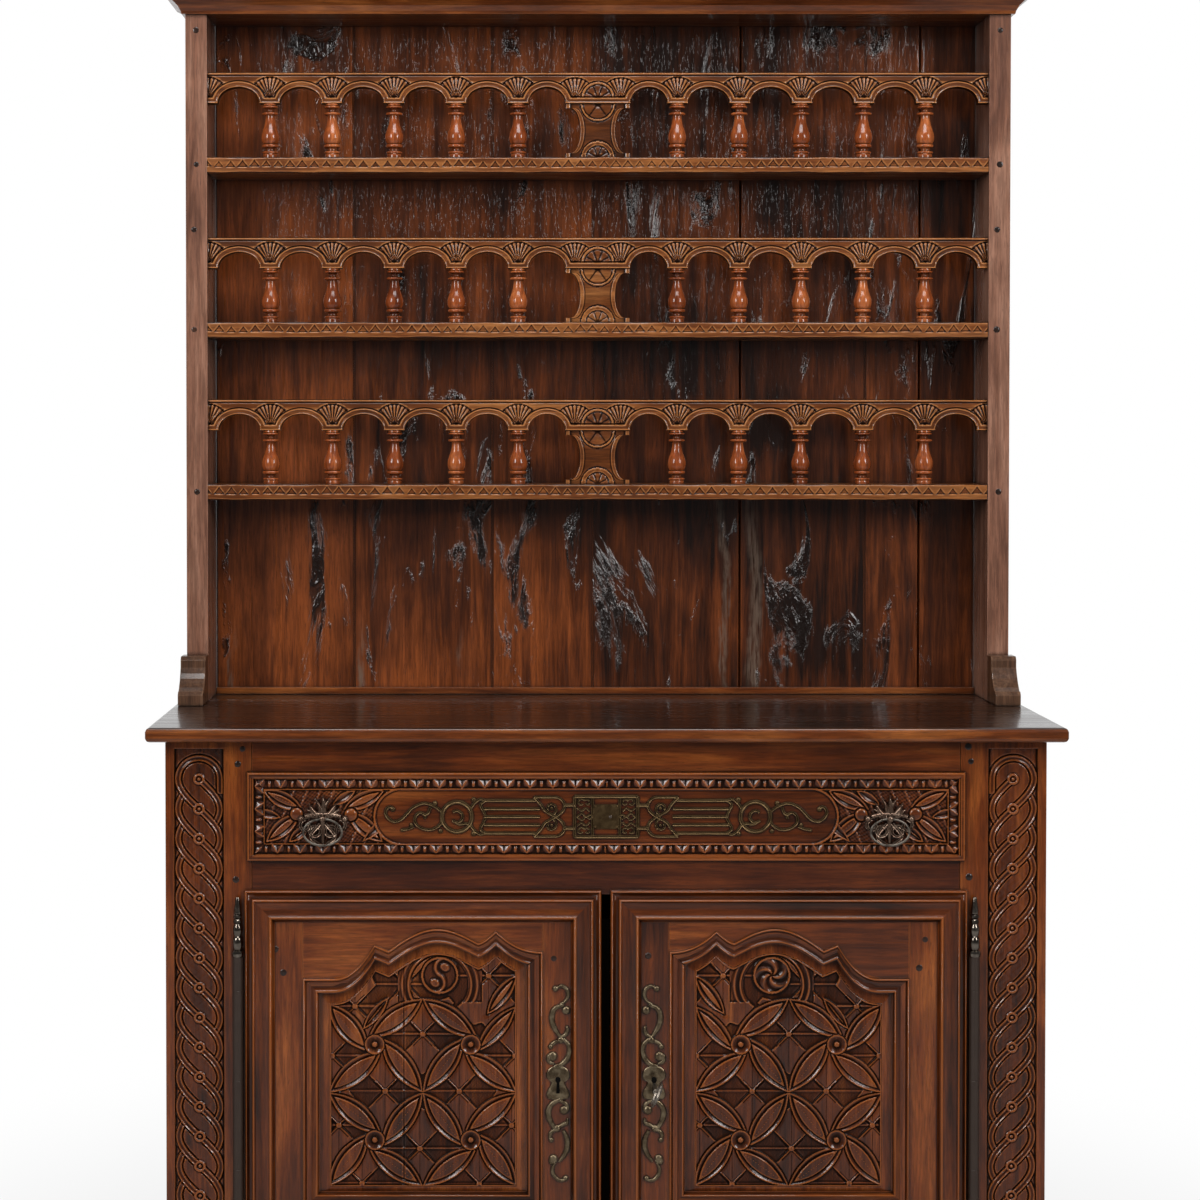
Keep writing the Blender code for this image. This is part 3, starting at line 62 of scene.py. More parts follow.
# Places taken over from the solids, in metres
FRONT_Y = -0.1985
COUNTER_Z = 0.955
HUTCH_FRONT_Y = 0.1465
HUTCH_INNER = 0.626
BACK_FACE_Y = 0.2685
SHELF_TOPS = (1.304, 1.564, 1.828)
GAP = 0.0003

CARVED_SHARP = 60  # degrees from which an edge of the carving stays sharp
BLUR_STEPS = 6


# Meshes


def new_piece(name, verts, polys, body, material, slot, relief=None):
    """A mesh object from arrays: verts (n, 3), polys a list of (m, k) index arrays."""
    mesh = bpy.data.meshes.new(name)
    loops = np.concatenate([p.ravel() for p in polys]).astype(np.int32)
    sizes = np.concatenate([np.full(len(p), p.shape[1]) for p in polys])
    starts = np.concatenate([[0], np.cumsum(sizes)[:-1]]).astype(np.int32)
    mesh.vertices.add(len(verts))
    mesh.vertices.foreach_set("co", np.asarray(verts, np.float32).ravel())
    mesh.loops.add(len(loops))
    mesh.loops.foreach_set("vertex_index", loops)
    mesh.polygons.add(len(starts))
    mesh.polygons.foreach_set("loop_start", starts)
    mesh.polygons.foreach_set("use_smooth", np.full(len(starts), True))
    mesh.update(calc_edges=True)
    mesh.validate()
    if relief is not None:
        layer = mesh.attributes.new("relief", "FLOAT", "POINT")
        layer.data.foreach_set("value", np.asarray(relief, np.float32).ravel())
    piece = bpy.data.objects.new(name, mesh)
    bpy.context.scene.collection.objects.link(piece)
    mesh.materials.append(material)
    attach(piece, body)
    return piece


def sharpen(piece, degrees=40):
    """Smooth shading that breaks at edges sharper than the angle."""
    piece.data.set_sharp_from_angle(angle=math.radians(degrees))
    return piece


class Parts:
    """Collects several closed forms into one mesh."""

    def __init__(self):
        self.verts, self.polys, self.count = [], [], 0

    def add(self, verts, polys):
        verts = np.asarray(verts, float).reshape(-1, 3)
        self.verts.append(verts)
        self.polys += [np.asarray(p, int) + self.count for p in polys if len(p)]
        self.count += len(verts)

    def piece(self, name, body, material, slot, degrees=40):
        made = new_piece(name, np.concatenate(self.verts), self.polys, body, material, slot)
        return sharpen(made, degrees)


def tube_faces(rings, points, closed=False):
    """Quads between successive rings of points, and end caps where the tube is open."""
    k = np.arange(rings - (0 if closed else 1))[:, None]
    i = np.arange(points)[None, :]
    a, b = k * points + i, k * points + (i + 1) % points
    nxt = ((k + 1) % rings) * points
    quads = np.stack([a, b, nxt + (i + 1) % points, nxt + i], -1).reshape(-1, 4)
    if closed:
        return [quads]
    first = np.arange(points)[::-1][None, :]
    last = ((rings - 1) * points + np.arange(points))[None, :]
    return [quads, first, last]


def lathe(profile, centre, sides=32, along="Z"):
    """A turned form: profile of (radius, distance along the axis) from one end to the other."""
    angles = np.arange(sides) * 2 * math.pi / sides
    rings = []
    for radius, place in profile:
        a, b = radius * np.cos(angles), radius * np.sin(angles)
        c = np.full(sides, place)
        rings.append(np.stack([a, b, c] if along == "Z" else [a, c, -b], -1))
    verts = np.concatenate(rings) + np.asarray(centre, float)
    return verts, tube_faces(len(profile), sides)


def smooth_profile(points, steps=5):
    """Rounds a list of (radius, place) points with a spline that keeps close to them."""
    p = np.asarray(points, float)
    p = np.vstack([2 * p[0] - p[1], p, 2 * p[-1] - p[-2]])
    out = []
    for k in range(1, len(p) - 2):
        for t in np.arange(steps) / steps:
            a = 2 * p[k] + (p[k + 1] - p[k - 1]) * t
            b = (2 * p[k - 1] - 5 * p[k] + 4 * p[k + 1] - p[k + 2]) * t**2
            c = (3 * p[k] - p[k - 1] - 3 * p[k + 1] + p[k + 2]) * t**3
            out.append((a + b + c) / 2)
    out.append(p[-2])
    return np.array(out)


def box_form(low, high):
    """Corners and faces of a plain board, outward facing."""
    x, y, z = zip(low, high)
    verts = [(x[i & 1], y[i >> 1 & 1], z[i >> 2]) for i in range(8)]
    faces = [(0, 2, 3, 1), (4, 5, 7, 6), (0, 1, 5, 4), (2, 6, 7, 3), (0, 4, 6, 2), (1, 3, 7, 5)]
    return np.array(verts), [np.array(faces)]


def slab(x, z, front, back):
    """A closed slab whose front is a grid: x, z and front are (rows, columns) arrays, back one depth.
    Rows run upwards and columns to the right, as seen from the front."""
    rows, cols = x.shape
    grid = np.arange(rows * cols).reshape(rows, cols)
    quads = np.stack([grid[:-1, :-1], grid[:-1, 1:], grid[1:, 1:], grid[1:, :-1]], -1).reshape(-1, 4)
    edge = np.concatenate([grid[0, :-1], grid[:-1, -1], grid[-1, :0:-1], grid[:0:-1, 0]])
    verts = np.stack([x, front, z], -1).reshape(-1, 3)
    behind = verts[edge].copy()
    behind[:, 1] = back
    ring = rows * cols + np.arange(len(edge))
    skirt = np.stack([edge, ring, np.roll(ring, -1), np.roll(edge, -1)], -1)
    return np.vstack([verts, behind]), [quads, skirt, ring[::-1][None, :]]


def outward(piece):
    """Turns every face of the closed forms outwards."""
    form = bmesh.new()
    form.from_mesh(piece.data)
    bmesh.ops.recalc_face_normals(form, faces=form.faces)
    form.to_mesh(piece.data)
    form.free()
    return piece


def step(low, high, value):
    """Smooth step from 0 at low to 1 at high."""
    t = np.clip((value - low) / (high - low), 0, 1)
    return t * t * (3 - 2 * t)


def ridge(value, width, middle=0.0):
    """A rounded crest, 1 at the middle and falling off over the width."""
    return np.exp(-(((value - middle) / width) ** 2))


def ball(reach, radius):
    """Height of a half ball of radius 1, for distances from its middle up to the radius."""
    return np.sqrt(np.clip(1 - (reach / radius) ** 2, 0, 1))


def hills(height):
    """How far each place of a carved grid stands above its surroundings."""
    blurred = height.copy()
    for _ in range(BLUR_STEPS):
        padded = np.pad(blurred, 1, mode="edge")
        blurred = (padded[:-2, 1:-1] + padded[2:, 1:-1] + padded[1:-1, :-2] + padded[1:-1, 2:]) / 4
    return height - blurred


def carving(name, x, z, height, face, back, body, material, slot, deep=0.12):
    """A carved slab; its relief attribute tells the finish where wax gathers and shade is painted, the deeper
    the darker, and where hands rub and a highlight is painted on the crests.
    """
    verts, polys = slab(x, z, face - height, back)
    relief = np.zeros(len(verts))
    relief[: x.size] = (hills(height) + deep * np.minimum(height, 0)).ravel()
    return sharpen(new_piece(name, verts, polys, body, material, slot, relief), CARVED_SHARP)


# Finishes


def srgb(red, green, blue):
    """Linear colour from the eight-bit values of a screen colour."""
    scaled = [v / 255 for v in (red, green, blue)]
    linear = [v / 12.92 if v <= 0.04045 else ((v + 0.055) / 1.055) ** 2.4 for v in scaled]
    return (*linear, 1.0)


class Graph:
    """Builds the nodes of one material or world step by step."""

    def __init__(self, owner):
        owner.use_nodes = True
        self.owner = owner
        self.tree = owner.node_tree
        self.tree.nodes.clear()

    def add(self, kind, settings=None, **inputs):
        """A new node; its inputs go by name, or by number after a _."""
        node = self.tree.nodes.new(kind)
        for key, value in (settings or {}).items():
            setattr(node, key, value)
        for key, value in inputs.items():
            socket = node.inputs[int(key[1:]) if key[0] == "_" else key]
            if isinstance(value, bpy.types.NodeSocket):
                self.tree.links.new(value, socket)
            else:
                socket.default_value = value
        return node

    def end(self, kind, shader):
        """Joins the last shader to the output and gives back the material or world."""
        self.add(kind, Surface=shader.outputs[0])
        return self.owner

    def surface(self, inputs):
        """Ends a material with one surface shader."""
        shader = self.add("ShaderNodeBsdfPrincipled", **inputs)
        return self.end("ShaderNodeOutputMaterial", shader)

    def maths(self, operation, a, b=0.5):
        return self.add("ShaderNodeMath", {"operation": operation}, _0=a, _1=b).outputs[0]

    def times(self, a, b):
        return self.maths("MULTIPLY", a, b)

    def plus(self, a, b):
        return self.maths("ADD", a, b)

    def distance(self, a, b):
        return self.maths("ABSOLUTE", self.maths("SUBTRACT", a, b))

    def span(self, value, low, high, to_low=0.0, to_high=1.0):
        """Value brought from one span to another, smoothly and clamped."""
        settings = {"interpolation_type": "SMOOTHSTEP", "clamp": True}
        values = {"_0": value, "_1": low, "_2": high, "_3": to_low, "_4": to_high}
        return self.add("ShaderNodeMapRange", settings, **values).outputs[0]

    def noise(self, vector, scale, detail=4.0, rough=0.55, twist=0.0):
        inputs = {"Vector": vector, "Scale": scale, "Detail": detail, "Roughness": rough, "Distortion": twist}
        return self.add("ShaderNodeTexNoise", **inputs).outputs[0]

    def blend(self, share, a, b, mode="MIX"):
        settings = {"data_type": "RGBA", "blend_type": mode}
        return self.add("ShaderNodeMix", settings, _0=share, _6=a, _7=b).outputs[2]

    def ramp(self, value, stops):
        node = self.add("ShaderNodeValToRGB", _0=value)
        while len(node.color_ramp.elements) < len(stops):
            node.color_ramp.elements.new(0.5)
        for element, (place, colour) in zip(node.color_ramp.elements, stops):
            element.position = place
            element.color = colour
        return node.outputs[0]

    def vector(self, operation, **inputs):
        return self.add("ShaderNodeVectorMath", {"operation": operation}, **inputs).outputs

    def scaled(self, vector, scale, shift=None):
        vector = self.vector("MULTIPLY", _0=vector, _1=scale)[0]
        return vector if shift is None else self.vector("ADD", _0=vector, _1=shift)[0]

    def coordinates(self):
        """Rest-place coordinates and a number that differs from piece to piece."""
        luck = self.add("ShaderNodeObjectInfo").outputs["Random"]
        return self.add("ShaderNodeTexCoord").outputs["Object"], luck

    def hollows(self, reach):
        """One where the surface is open, less in corners and carved hollows."""
        settings = {"samples": 6, "only_local": False}
        return self.add("ShaderNodeAmbientOcclusion", settings, Distance=reach).outputs["AO"]

    def worn_and_lit_edges(self, radius):
        """One on outer edges, from the turn between the true and a rounded normal."""
        rounded = self.add("ShaderNodeBevel", {"samples": 4}, Radius=radius).outputs[0]
        true = self.add("ShaderNodeNewGeometry").outputs["Normal"]
        turn = self.vector("DOT_PRODUCT", _0=rounded, _1=true)["Value"]
        return self.span(turn, 0.995, 0.90)

    def bump(self, height, strength, distance):
        inputs = {"Height": height, "Strength": strength, "Distance": distance}
        return self.add("ShaderNodeBump", **inputs).outputs[0]


# Noises: scale, detail, roughness, twist
WOOD_SHADE = (4.5, 3.0, 0.5, 0.4)
WOOD_STREAK = (3.2, 7.0, 0.62, 0.9)
WOOD_FINE = (21.0, 4.0, 0.6, 0.2)
WOOD_PORES = (62.0, 2.0, 0.5)
WOOD_POLISH = (4.0, 5.0)
TEAR = (1.7, 6.0, 0.66, 1.6)
CRUMB = (62.0, 3.0, 0.6, 1.2)
WANDER = (9.0, 4.0, 0.6)
METAL_MOTTLE = (90.0, 5.0, 0.6, 0.3)
METAL_SPOTS = (420.0, 3.0, 0.6)
METAL_SCRATCH = (900.0, 2.0)

STRETCH = {"x": (1.0, 14.0, 14.0), "y": (14.0, 1.0, 14.0), "z": (14.0, 14.0, 1.0)}
LUCK_SHIFT = (3.1, 5.3, 7.7)
WOOD_SHEEN = 0.1
WAX_COAT = 0.55
COAT_ROUGHNESS = 0.12
WAXED = -0.00040  # relief below which wax makes the wood matte
# Near-black for dark wax and for painted shade in hollows and corners; also the dark joint lines
WAX_AND_SHADE_BLACK = srgb(18, 10, 7)
# Near-black painted as the shadow in the gap between the doors
GAP_SHADOW_BLACK = srgb(6, 4, 3)
FILLER_GREY = srgb(96, 80, 68)
TORN_WOOD = srgb(22, 14, 11)
RIM_BLUR = 0.003
GAP_SHADOW_BLUR = 0.0004
JOINT_LINE = (0.0032, 0.0014)  # from where a joint darkens the wood, and from where it is black
BOARD_EDGES = (-0.6257, -0.3980, -0.1700, -0.0040, 0.4450, 0.6257)
FILLED_CRACKS = (  # across, half width, lowest and highest place of old filler in the hutch's back
    (0.212, 0.010, 0.95, 1.30), (0.262, 0.015, 0.95, 1.29), (-0.225, 0.008, 1.00, 1.04),
    (-0.390, 0.008, 0.95, 1.06), (-0.600, 0.006, 0.95, 1.05),
)
TORN_PLACES = (  # middle and half size, across and up, of the patches where the back's face is torn away
    (-0.457, 1.12, 0.014, 0.14), (-0.207, 1.22, 0.034, 0.08), (-0.129, 1.05, 0.050, 0.11),
    (0.054, 1.11, 0.080, 0.12), (0.337, 1.12, 0.080, 0.16), (-0.505, 1.75, 0.022, 0.06),
    (-0.470, 2.04, 0.060, 0.05), (0.410, 2.04, 0.120, 0.05), (-0.610, 1.12, 0.012, 0.20),
    (0.060, 1.77, 0.030, 0.07), (0.330, 1.50, 0.060, 0.05),
)


def torn_face(f, place, offset, fine, colour, height, rough):
    """Patches where a plank's face is torn away, grey filler in old cracks, dark lines at the joints."""
    across, _, up = f.add("ShaderNodeSeparateXYZ", _0=place).outputs
    tear = f.noise(f.scaled(place, (7.0, 7.0, 2.2), offset), *TEAR)
    for middle, level, half_across, half_up in TORN_PLACES:
        off = f.vector("SUBTRACT", _0=place, _1=(middle, 0.0, level))[0]
        far = f.vector("LENGTH", _0=f.scaled(off, (1 / half_across, 0.0, 1 / half_up)))["Value"]
        tear = f.plus(tear, f.span(far, 1.15, 0.3, 0.0, 0.11))
    patch = f.span(tear, 0.60, 0.67)
    crumb = f.noise(f.scaled(place, (1.0, 1.0, 0.5)), *CRUMB)
    colour = f.blend(f.times(patch, f.span(crumb, 0.35, 0.55, 0.75, 0.97)), colour, TORN_WOOD)
    height = f.plus(height, f.times(f.times(crumb, patch), 26.0))
    rough = f.plus(rough, f.times(patch, -0.12))
    wander = f.noise(f.scaled(place, (0.3, 0.3, 1.0)), *WANDER)
    drift = f.times(f.maths("SUBTRACT", wander, 0.5), 0.05)
    for middle, half, low, high in FILLED_CRACKS:
        off = f.distance(f.plus(across, drift), middle)
        mask = f.times(f.span(off, half, 0.2 * half), f.span(tear, 0.36, 0.50, 0.1, 0.75))
        mask = f.times(mask, f.span(up, low - 0.01, low + 0.02))
        mask = f.times(mask, f.span(up, high + 0.04, high - 0.08))
        mask = f.times(mask, f.span(fine, 0.36, 0.56, 0.1, 1.0))
        colour = f.blend(mask, colour, FILLER_GREY)
    for joint in BOARD_EDGES:
        colour = f.blend(f.span(f.distance(across, joint), *JOINT_LINE), colour, WAX_AND_SHADE_BLACK)
    return colour, height, rough


def wood(
    name, grain, tones, gloss=(0.26, 0.46), carved=False, torn=False, wax_and_shade=0.75, wear=0.5, own=1.0,
    rim=None, gap_shadow_from=None, stops=(0.34, 0.50, 0.68),
):
    """Waxed old wood: slow shade, streaks along the grain, pores, dark wax and painted shade in corners,
    rubbed edges that also carry a painted highlight. rim is a height and the tones below it; a place across
    may be given beyond which the wood is painted black, as the shadow in the gap between the doors."""
    f = Graph(bpy.data.materials.new(name))
    dark, _, light = tones
    place, luck = f.coordinates()
    across, _, up = f.add("ShaderNodeSeparateXYZ", _0=place).outputs
    luck = f.times(luck, own)
    offset = f.vector("SCALE", _0=LUCK_SHIFT, Scale=luck)[0]
    along = f.scaled(place, STRETCH[grain], offset)
    shade = f.noise(f.scaled(place, (1.0, 1.0, 1.0), offset), *WOOD_SHADE)
    streak = f.noise(along, *WOOD_STREAK)
    fine = f.noise(along, *WOOD_FINE)
    pores = f.noise(along, *WOOD_PORES)
    tone = f.plus(f.times(shade, 0.45), f.times(streak, 0.55))
    tone = f.plus(tone, f.times(f.maths("SUBTRACT", luck, 0.5), 0.16 if torn else 0.08))
    colour = f.ramp(tone, list(zip(stops, tones)))
    if rim:
        lower = f.ramp(tone, list(zip(stops, rim[1])))
        colour = f.blend(f.span(up, rim[0], rim[0] - RIM_BLUR), colour, lower)
    lines = f.span(fine, 0.38, 0.64, 0.66, 1.10)
    lines = f.add("ShaderNodeCombineColor", _0=lines, _1=lines, _2=lines).outputs[0]
    colour = f.blend(0.85, colour, lines, "MULTIPLY")
    dots = f.span(pores, 0.60, 0.70)
    colour = f.blend(f.times(dots, 0.45), colour, dark)
    rough = f.span(f.noise(along, *WOOD_POLISH), 0.3, 0.7, *gloss)
    height = f.plus(f.times(fine, 0.6), f.times(dots, -0.5))
    if torn:
        colour, height, rough = torn_face(f, place, offset, fine, colour, height, rough)
    sheen, coat = WOOD_SHEEN, WAX_COAT
    if carved:
        relief = f.add("ShaderNodeAttribute", {"attribute_name": "relief"}).outputs["Fac"]
        # Painted shade and highlight from the relief: hollows darken to near-black (also real dark wax),
        # crests lighten to the light tone (also rubbed wear)
        colour = f.blend(f.span(relief, 0.0, -0.00048, 0.0, 0.92), colour, WAX_AND_SHADE_BLACK)
        colour = f.blend(f.span(relief, 0.0001, 0.0004, 0.0, wear), colour, light)
        sheen = f.span(relief, WAXED, 0.0, 0.02, sheen)
        coat = f.span(relief, WAXED, 0.0, 0.10, coat)
    else:
        # Rubbed edges, lightened also as a painted highlight along the arrises
        colour = f.blend(f.times(f.worn_and_lit_edges(0.003), wear), colour, light)
    # Painted shade, with some dark wax: corners and hollows found by ambient occlusion darken towards
    # near-black
    open_air = f.hollows(0.006 if carved else 0.009)
    colour = f.blend(f.span(open_air, 0.85, 0.45, 0.0, wax_and_shade), colour, WAX_AND_SHADE_BLACK)
    # Painted shadow: beyond the given place the wood is near-black and without reflection, as the gap's shade
    if gap_shadow_from is not None:
        start = gap_shadow_from - GAP_SHADOW_BLUR
        colour = f.blend(f.span(across, start, gap_shadow_from), colour, GAP_SHADOW_BLACK)
        sheen = f.span(across, start, gap_shadow_from, sheen, 0.0)
        coat = f.span(across, start, gap_shadow_from, coat, 0.0)
    uneven = f.bump(height, 0.35, 0.0006)
    looks = {"Base Color": colour, "Roughness": rough, "Normal": uneven}
    if torn:
        looks["Coat Normal"] = uneven
    looks |= {"Specular IOR Level": sheen, "Coat Weight": coat, "Coat Roughness": COAT_ROUGHNESS}
    return f.surface(looks)


def metal(name, base, bright, stain_and_shade, gloss=(0.24, 0.45), wear=0.8, metallic=0.92, skin=0.2):
    """Old metal: mottled skin, stains, edges lightened as wear and painted highlight, painted shade in
    hollows, fine scratches; three screen colours.
    """
    base, bright, stain_and_shade = srgb(*base), srgb(*bright), srgb(*stain_and_shade)
    f = Graph(bpy.data.materials.new(name))
    place = f.coordinates()[0]
    mottle = f.noise(place, *METAL_MOTTLE)
    spots = f.noise(place, *METAL_SPOTS)
    colour = f.blend(f.span(mottle, 0.40, 0.66, 0.0, 0.35), base, bright)
    colour = f.blend(f.span(spots, 0.58, 0.70, 0.0, 0.5), colour, stain_and_shade)
    # Rubbed edges lightened, also as a painted highlight
    colour = f.blend(f.times(f.worn_and_lit_edges(0.0010), wear), colour, bright)
    # Painted shade, with some stain: hollows found by ambient occlusion darken to the dark colour
    colour = f.blend(f.span(f.hollows(0.006), 0.8, 0.3, 0.0, 0.7), colour, stain_and_shade)
    rough = f.span(mottle, 0.3, 0.7, *gloss)
    scratch = f.noise(f.scaled(place, (1.0, 1.0, 0.12)), *METAL_SCRATCH)
    height = f.plus(f.times(mottle, 0.6), f.times(scratch, 0.25))
    uneven = f.bump(height, skin, 0.0002)
    return f.surface({"Base Color": colour, "Roughness": rough, "Metallic": metallic, "Normal": uneven})


def shades(dark, middle, light):
    """Three tones of a wood from screen colours."""
    return srgb(*dark), srgb(*middle), srgb(*light)


BASE_TONES = shades((48, 19, 5), (98, 44, 12), (144, 78, 30))
CARVED_TONES = shades((42, 17, 5), (90, 40, 11), (138, 75, 30))
HUTCH_TONES = shades((60, 29, 11), (103, 54, 22), (156, 100, 54))
TURNED_TONES = shades((86, 36, 14), (136, 66, 30), (184, 106, 58))
BACK_TONES = shades((32, 16, 10), (78, 37, 16), (124, 63, 28))
POST_TONES = shades((74, 46, 36), (118, 80, 63), (154, 114, 94))
TOP_TONES = shades((18, 10, 7), (34, 20, 13), (62, 38, 25))
RAIL_TONES = shades((30, 10, 2), (62, 24, 6), (96, 44, 14))
EDGE_TONES = shades((50, 22, 8), (96, 46, 16), (140, 80, 36))
SHOE_TONES = shades((44, 29, 21), (80, 54, 38), (122, 92, 70))
INNER_TONES = shades((96, 64, 38), (146, 104, 66), (180, 138, 94))
MEETING_EDGE = -0.0066
CARVED_LOOK = {"carved": True, "wax_and_shade": 0.85, "wear": 0.7, "own": 0.0}

base_wood = {g: wood(f"base_wood_{g}", g, BASE_TONES) for g in "xz"}
base_carved = {g: wood(f"base_carved_{g}", g, CARVED_TONES, **CARVED_LOOK) for g in "xz"}
hutch_wood = wood("hutch_wood_x", "x", HUTCH_TONES)
# Strong wear on the hutch's carving: its crests are lightened, rubbed wood and a painted highlight
hutch_carved = wood("hutch_carved", "x", HUTCH_TONES, carved=True, wear=0.8)
post_wood = wood("post_wood", "z", POST_TONES, (0.24, 0.42))
turned_wood = wood("turned_wood", "z", TURNED_TONES, (0.14, 0.26), wear=0.3)
back_wood = wood("back_wood", "z", BACK_TONES, (0.24, 0.42), torn=True, wax_and_shade=0.4, stops=(0.38, 0.50, 0.64))
top_wood = wood("top_wood", "x", TOP_TONES, (0.22, 0.40), rim=(COUNTER_Z - 0.0005, EDGE_TONES))
rail_wood = wood("rail_wood", "x", RAIL_TONES)
edge_wood = wood("edge_wood", "x", EDGE_TONES)
# The left door's lock stile is painted black beyond the meeting edge: the shadow in the gap between the doors
meeting_wood = wood("meeting_wood", "z", BASE_TONES, gap_shadow_from=MEETING_EDGE)
peg_wood = wood("peg_wood", "z", TOP_TONES, (0.3, 0.5), wax_and_shade=0.9)
shoe_wood = wood("shoe_wood", "z", SHOE_TONES, (0.4, 0.6), wax_and_shade=0.85)
inner_wood = {g: wood(f"inner_wood_{g}", g, INNER_TONES, (0.5, 0.7), wear=0.2) for g in "xy"}
iron = metal("iron", (92, 84, 76), (160, 152, 140), (46, 38, 32))
dark_iron = metal("dark_iron", (76, 65, 57), (92, 82, 74), (62, 52, 45), (0.24, 0.3), 0.4, 0.6, 0.04)
rod_iron = metal("rod_iron", (48, 35, 27), (56, 43, 34), (40, 29, 22), (0.42, 0.5), 0.0, 0.3, 0.02)
finial_iron = metal("finial_iron", (96, 88, 80), (160, 150, 138), (40, 34, 30), (0.12, 0.2), 0.4, 1.0, 0.02)
crown_iron = metal("crown_iron", (84, 62, 49), (164, 142, 124), (36, 23, 17), (0.18, 0.3), metallic=0.8)
bronze = metal("bronze", (74, 57, 36), (112, 92, 62), (38, 27, 18), (0.3, 0.46))
brass = metal("brass", (88, 74, 56), (166, 150, 122), (42, 32, 23), (0.26, 0.42))
shadow_iron = metal("shadow_iron", (12, 10, 9), (20, 17, 15), (8, 7, 6), (0.6, 0.8), 0.2)


# Plate galleries: arcaded rails with carved shells, turned balusters, hourglass splats

RAIL_LOW = 0.0861  # above the shelf
RAIL_HIGH = 0.1361
RAIL_FRONT_Y = 0.1555
RAIL_BACK_Y = 0.1735
GALLERY_REACH = HUTCH_INNER - GAP
BALUSTER_PITCH = 0.0996
BALUSTERS_PER_SIDE = 5
BALUSTER_Y = 0.1645
BALUSTER_TOP = 0.0862
FOOT_HALF = 0.0165
ARCH_RISE = 0.026
ARCH_BAND = 0.0095
SPLAT_HALF = 0.052
SPLAT_WAIST = 0.0286
SPLAT_LEDGE = 0.007
SPLAT_FRONT_Y = 0.1575
SPLAT_BACK_Y = 0.1715
FIRST_BALUSTER = GALLERY_REACH - BALUSTER_PITCH * BALUSTERS_PER_SIDE
ONE_SIDE = [FIRST_BALUSTER + k * BALUSTER_PITCH for k in range(BALUSTERS_PER_SIDE)]
STATIONS = sorted([-x for x in ONE_SIDE] + ONE_SIDE)
SHELL_RADIUS = 0.0335
SPLAT_SHELLS = (-0.037, 0.037)
SHELL_LOBES = 9
RAIL_ROWS = 47
LEDGE_ROWS = 8
BALUSTER_SIDES = 28

# Baluster outline: share of the height from its top, radius in millimetres
BALUSTER_TURNING = (
    (0.000, 11.6), (0.028, 12.0), (0.036, 10.8), (0.046, 12.8), (0.070, 12.8), (0.082, 10.0), (0.096, 6.1),
    (0.128, 5.7), (0.152, 6.6), (0.166, 12.8), (0.188, 13.5), (0.206, 12.2), (0.218, 7.6), (0.300, 8.0),
    (0.400, 9.7), (0.480, 12.1), (0.560, 14.2), (0.620, 14.8), (0.680, 14.2), (0.734, 12.2), (0.746, 11.0),
    (0.758, 13.2), (0.788, 13.6), (0.808, 12.4), (0.822, 8.0), (0.868, 7.6), (0.886, 12.2), (0.910, 13.0),
    (0.930, 11.3), (0.942, 11.7), (1.000, 11.9),
)


def fan(height, x, z, centre, radius, lobes, half_angle=55.0, depth=0.0028):
    """Cuts a shell of rounded lobes, spreading upwards from its centre, into a height field."""
    dx, dz = x - centre[0], z - centre[1]
    reach = np.hypot(dx, dz)
    turn = np.degrees(np.arctan2(dx, dz))
    share = (turn + half_angle) / (2 * half_angle) * lobes
    lobe = np.abs(np.sin(np.pi * share)) ** 0.55
    rise = lobe * step(0.0, 0.3 * radius, reach)
    end = radius * (0.955 + 0.045 * lobe)
    carved = -depth + depth * 0.85 * rise - 0.0014 * step(end - 0.0012, end, reach)
    inside = (np.abs(turn) < half_angle) & (reach < radius * 1.03)
    return np.where(inside, np.minimum(height, carved), height)


def half_rosette(height, x, z, centre, radius, petals, up, ring=0.14):
    """A half flower with a rim, above or below a straight edge."""
    dx, dz = x - centre[0], (z - centre[1]) * up
    reach = np.hypot(dx, dz) / radius
    turn = np.arctan2(dx, dz)
    petal = np.abs(np.cos(turn * petals / 2)) ** 0.6
    inner = 1 - ring
    carved = -0.0022 + 0.0016 * petal * step(0.05, 0.35, reach)
    carved -= 0.001 * step(inner - 0.16, inner - 0.04, reach)
    carved = np.where(reach > inner - 0.03, -0.0003, carved)
    carved = np.where(np.abs(reach - 1.0) < 0.035, -0.0022, carved)
    return np.where((reach < 1.03) & (dz > -0.0001), carved, height)


def feet_of_rail():
    """The straight stretches along the rail's underside, and the arches between them."""
    feet = [(x - FOOT_HALF, x + FOOT_HALF) for x in STATIONS] + [(-SPLAT_HALF, SPLAT_HALF)]
    feet += [(-GALLERY_REACH, FOOT_HALF - GALLERY_REACH), (GALLERY_REACH - FOOT_HALF, GALLERY_REACH)]
    feet.sort()
    return feet, [(a[1], b[0]) for a, b in zip(feet, feet[1:])]


def arch_curve(start, end, steps):
    """Underside of one arch: its points from one foot to the next."""
    turn = np.linspace(-math.pi / 2, math.pi / 2, steps)
    x = (start + end) / 2 + (end - start) / 2 * np.sin(turn)
    return x, RAIL_LOW + ARCH_RISE * np.cos(turn) ** 0.92


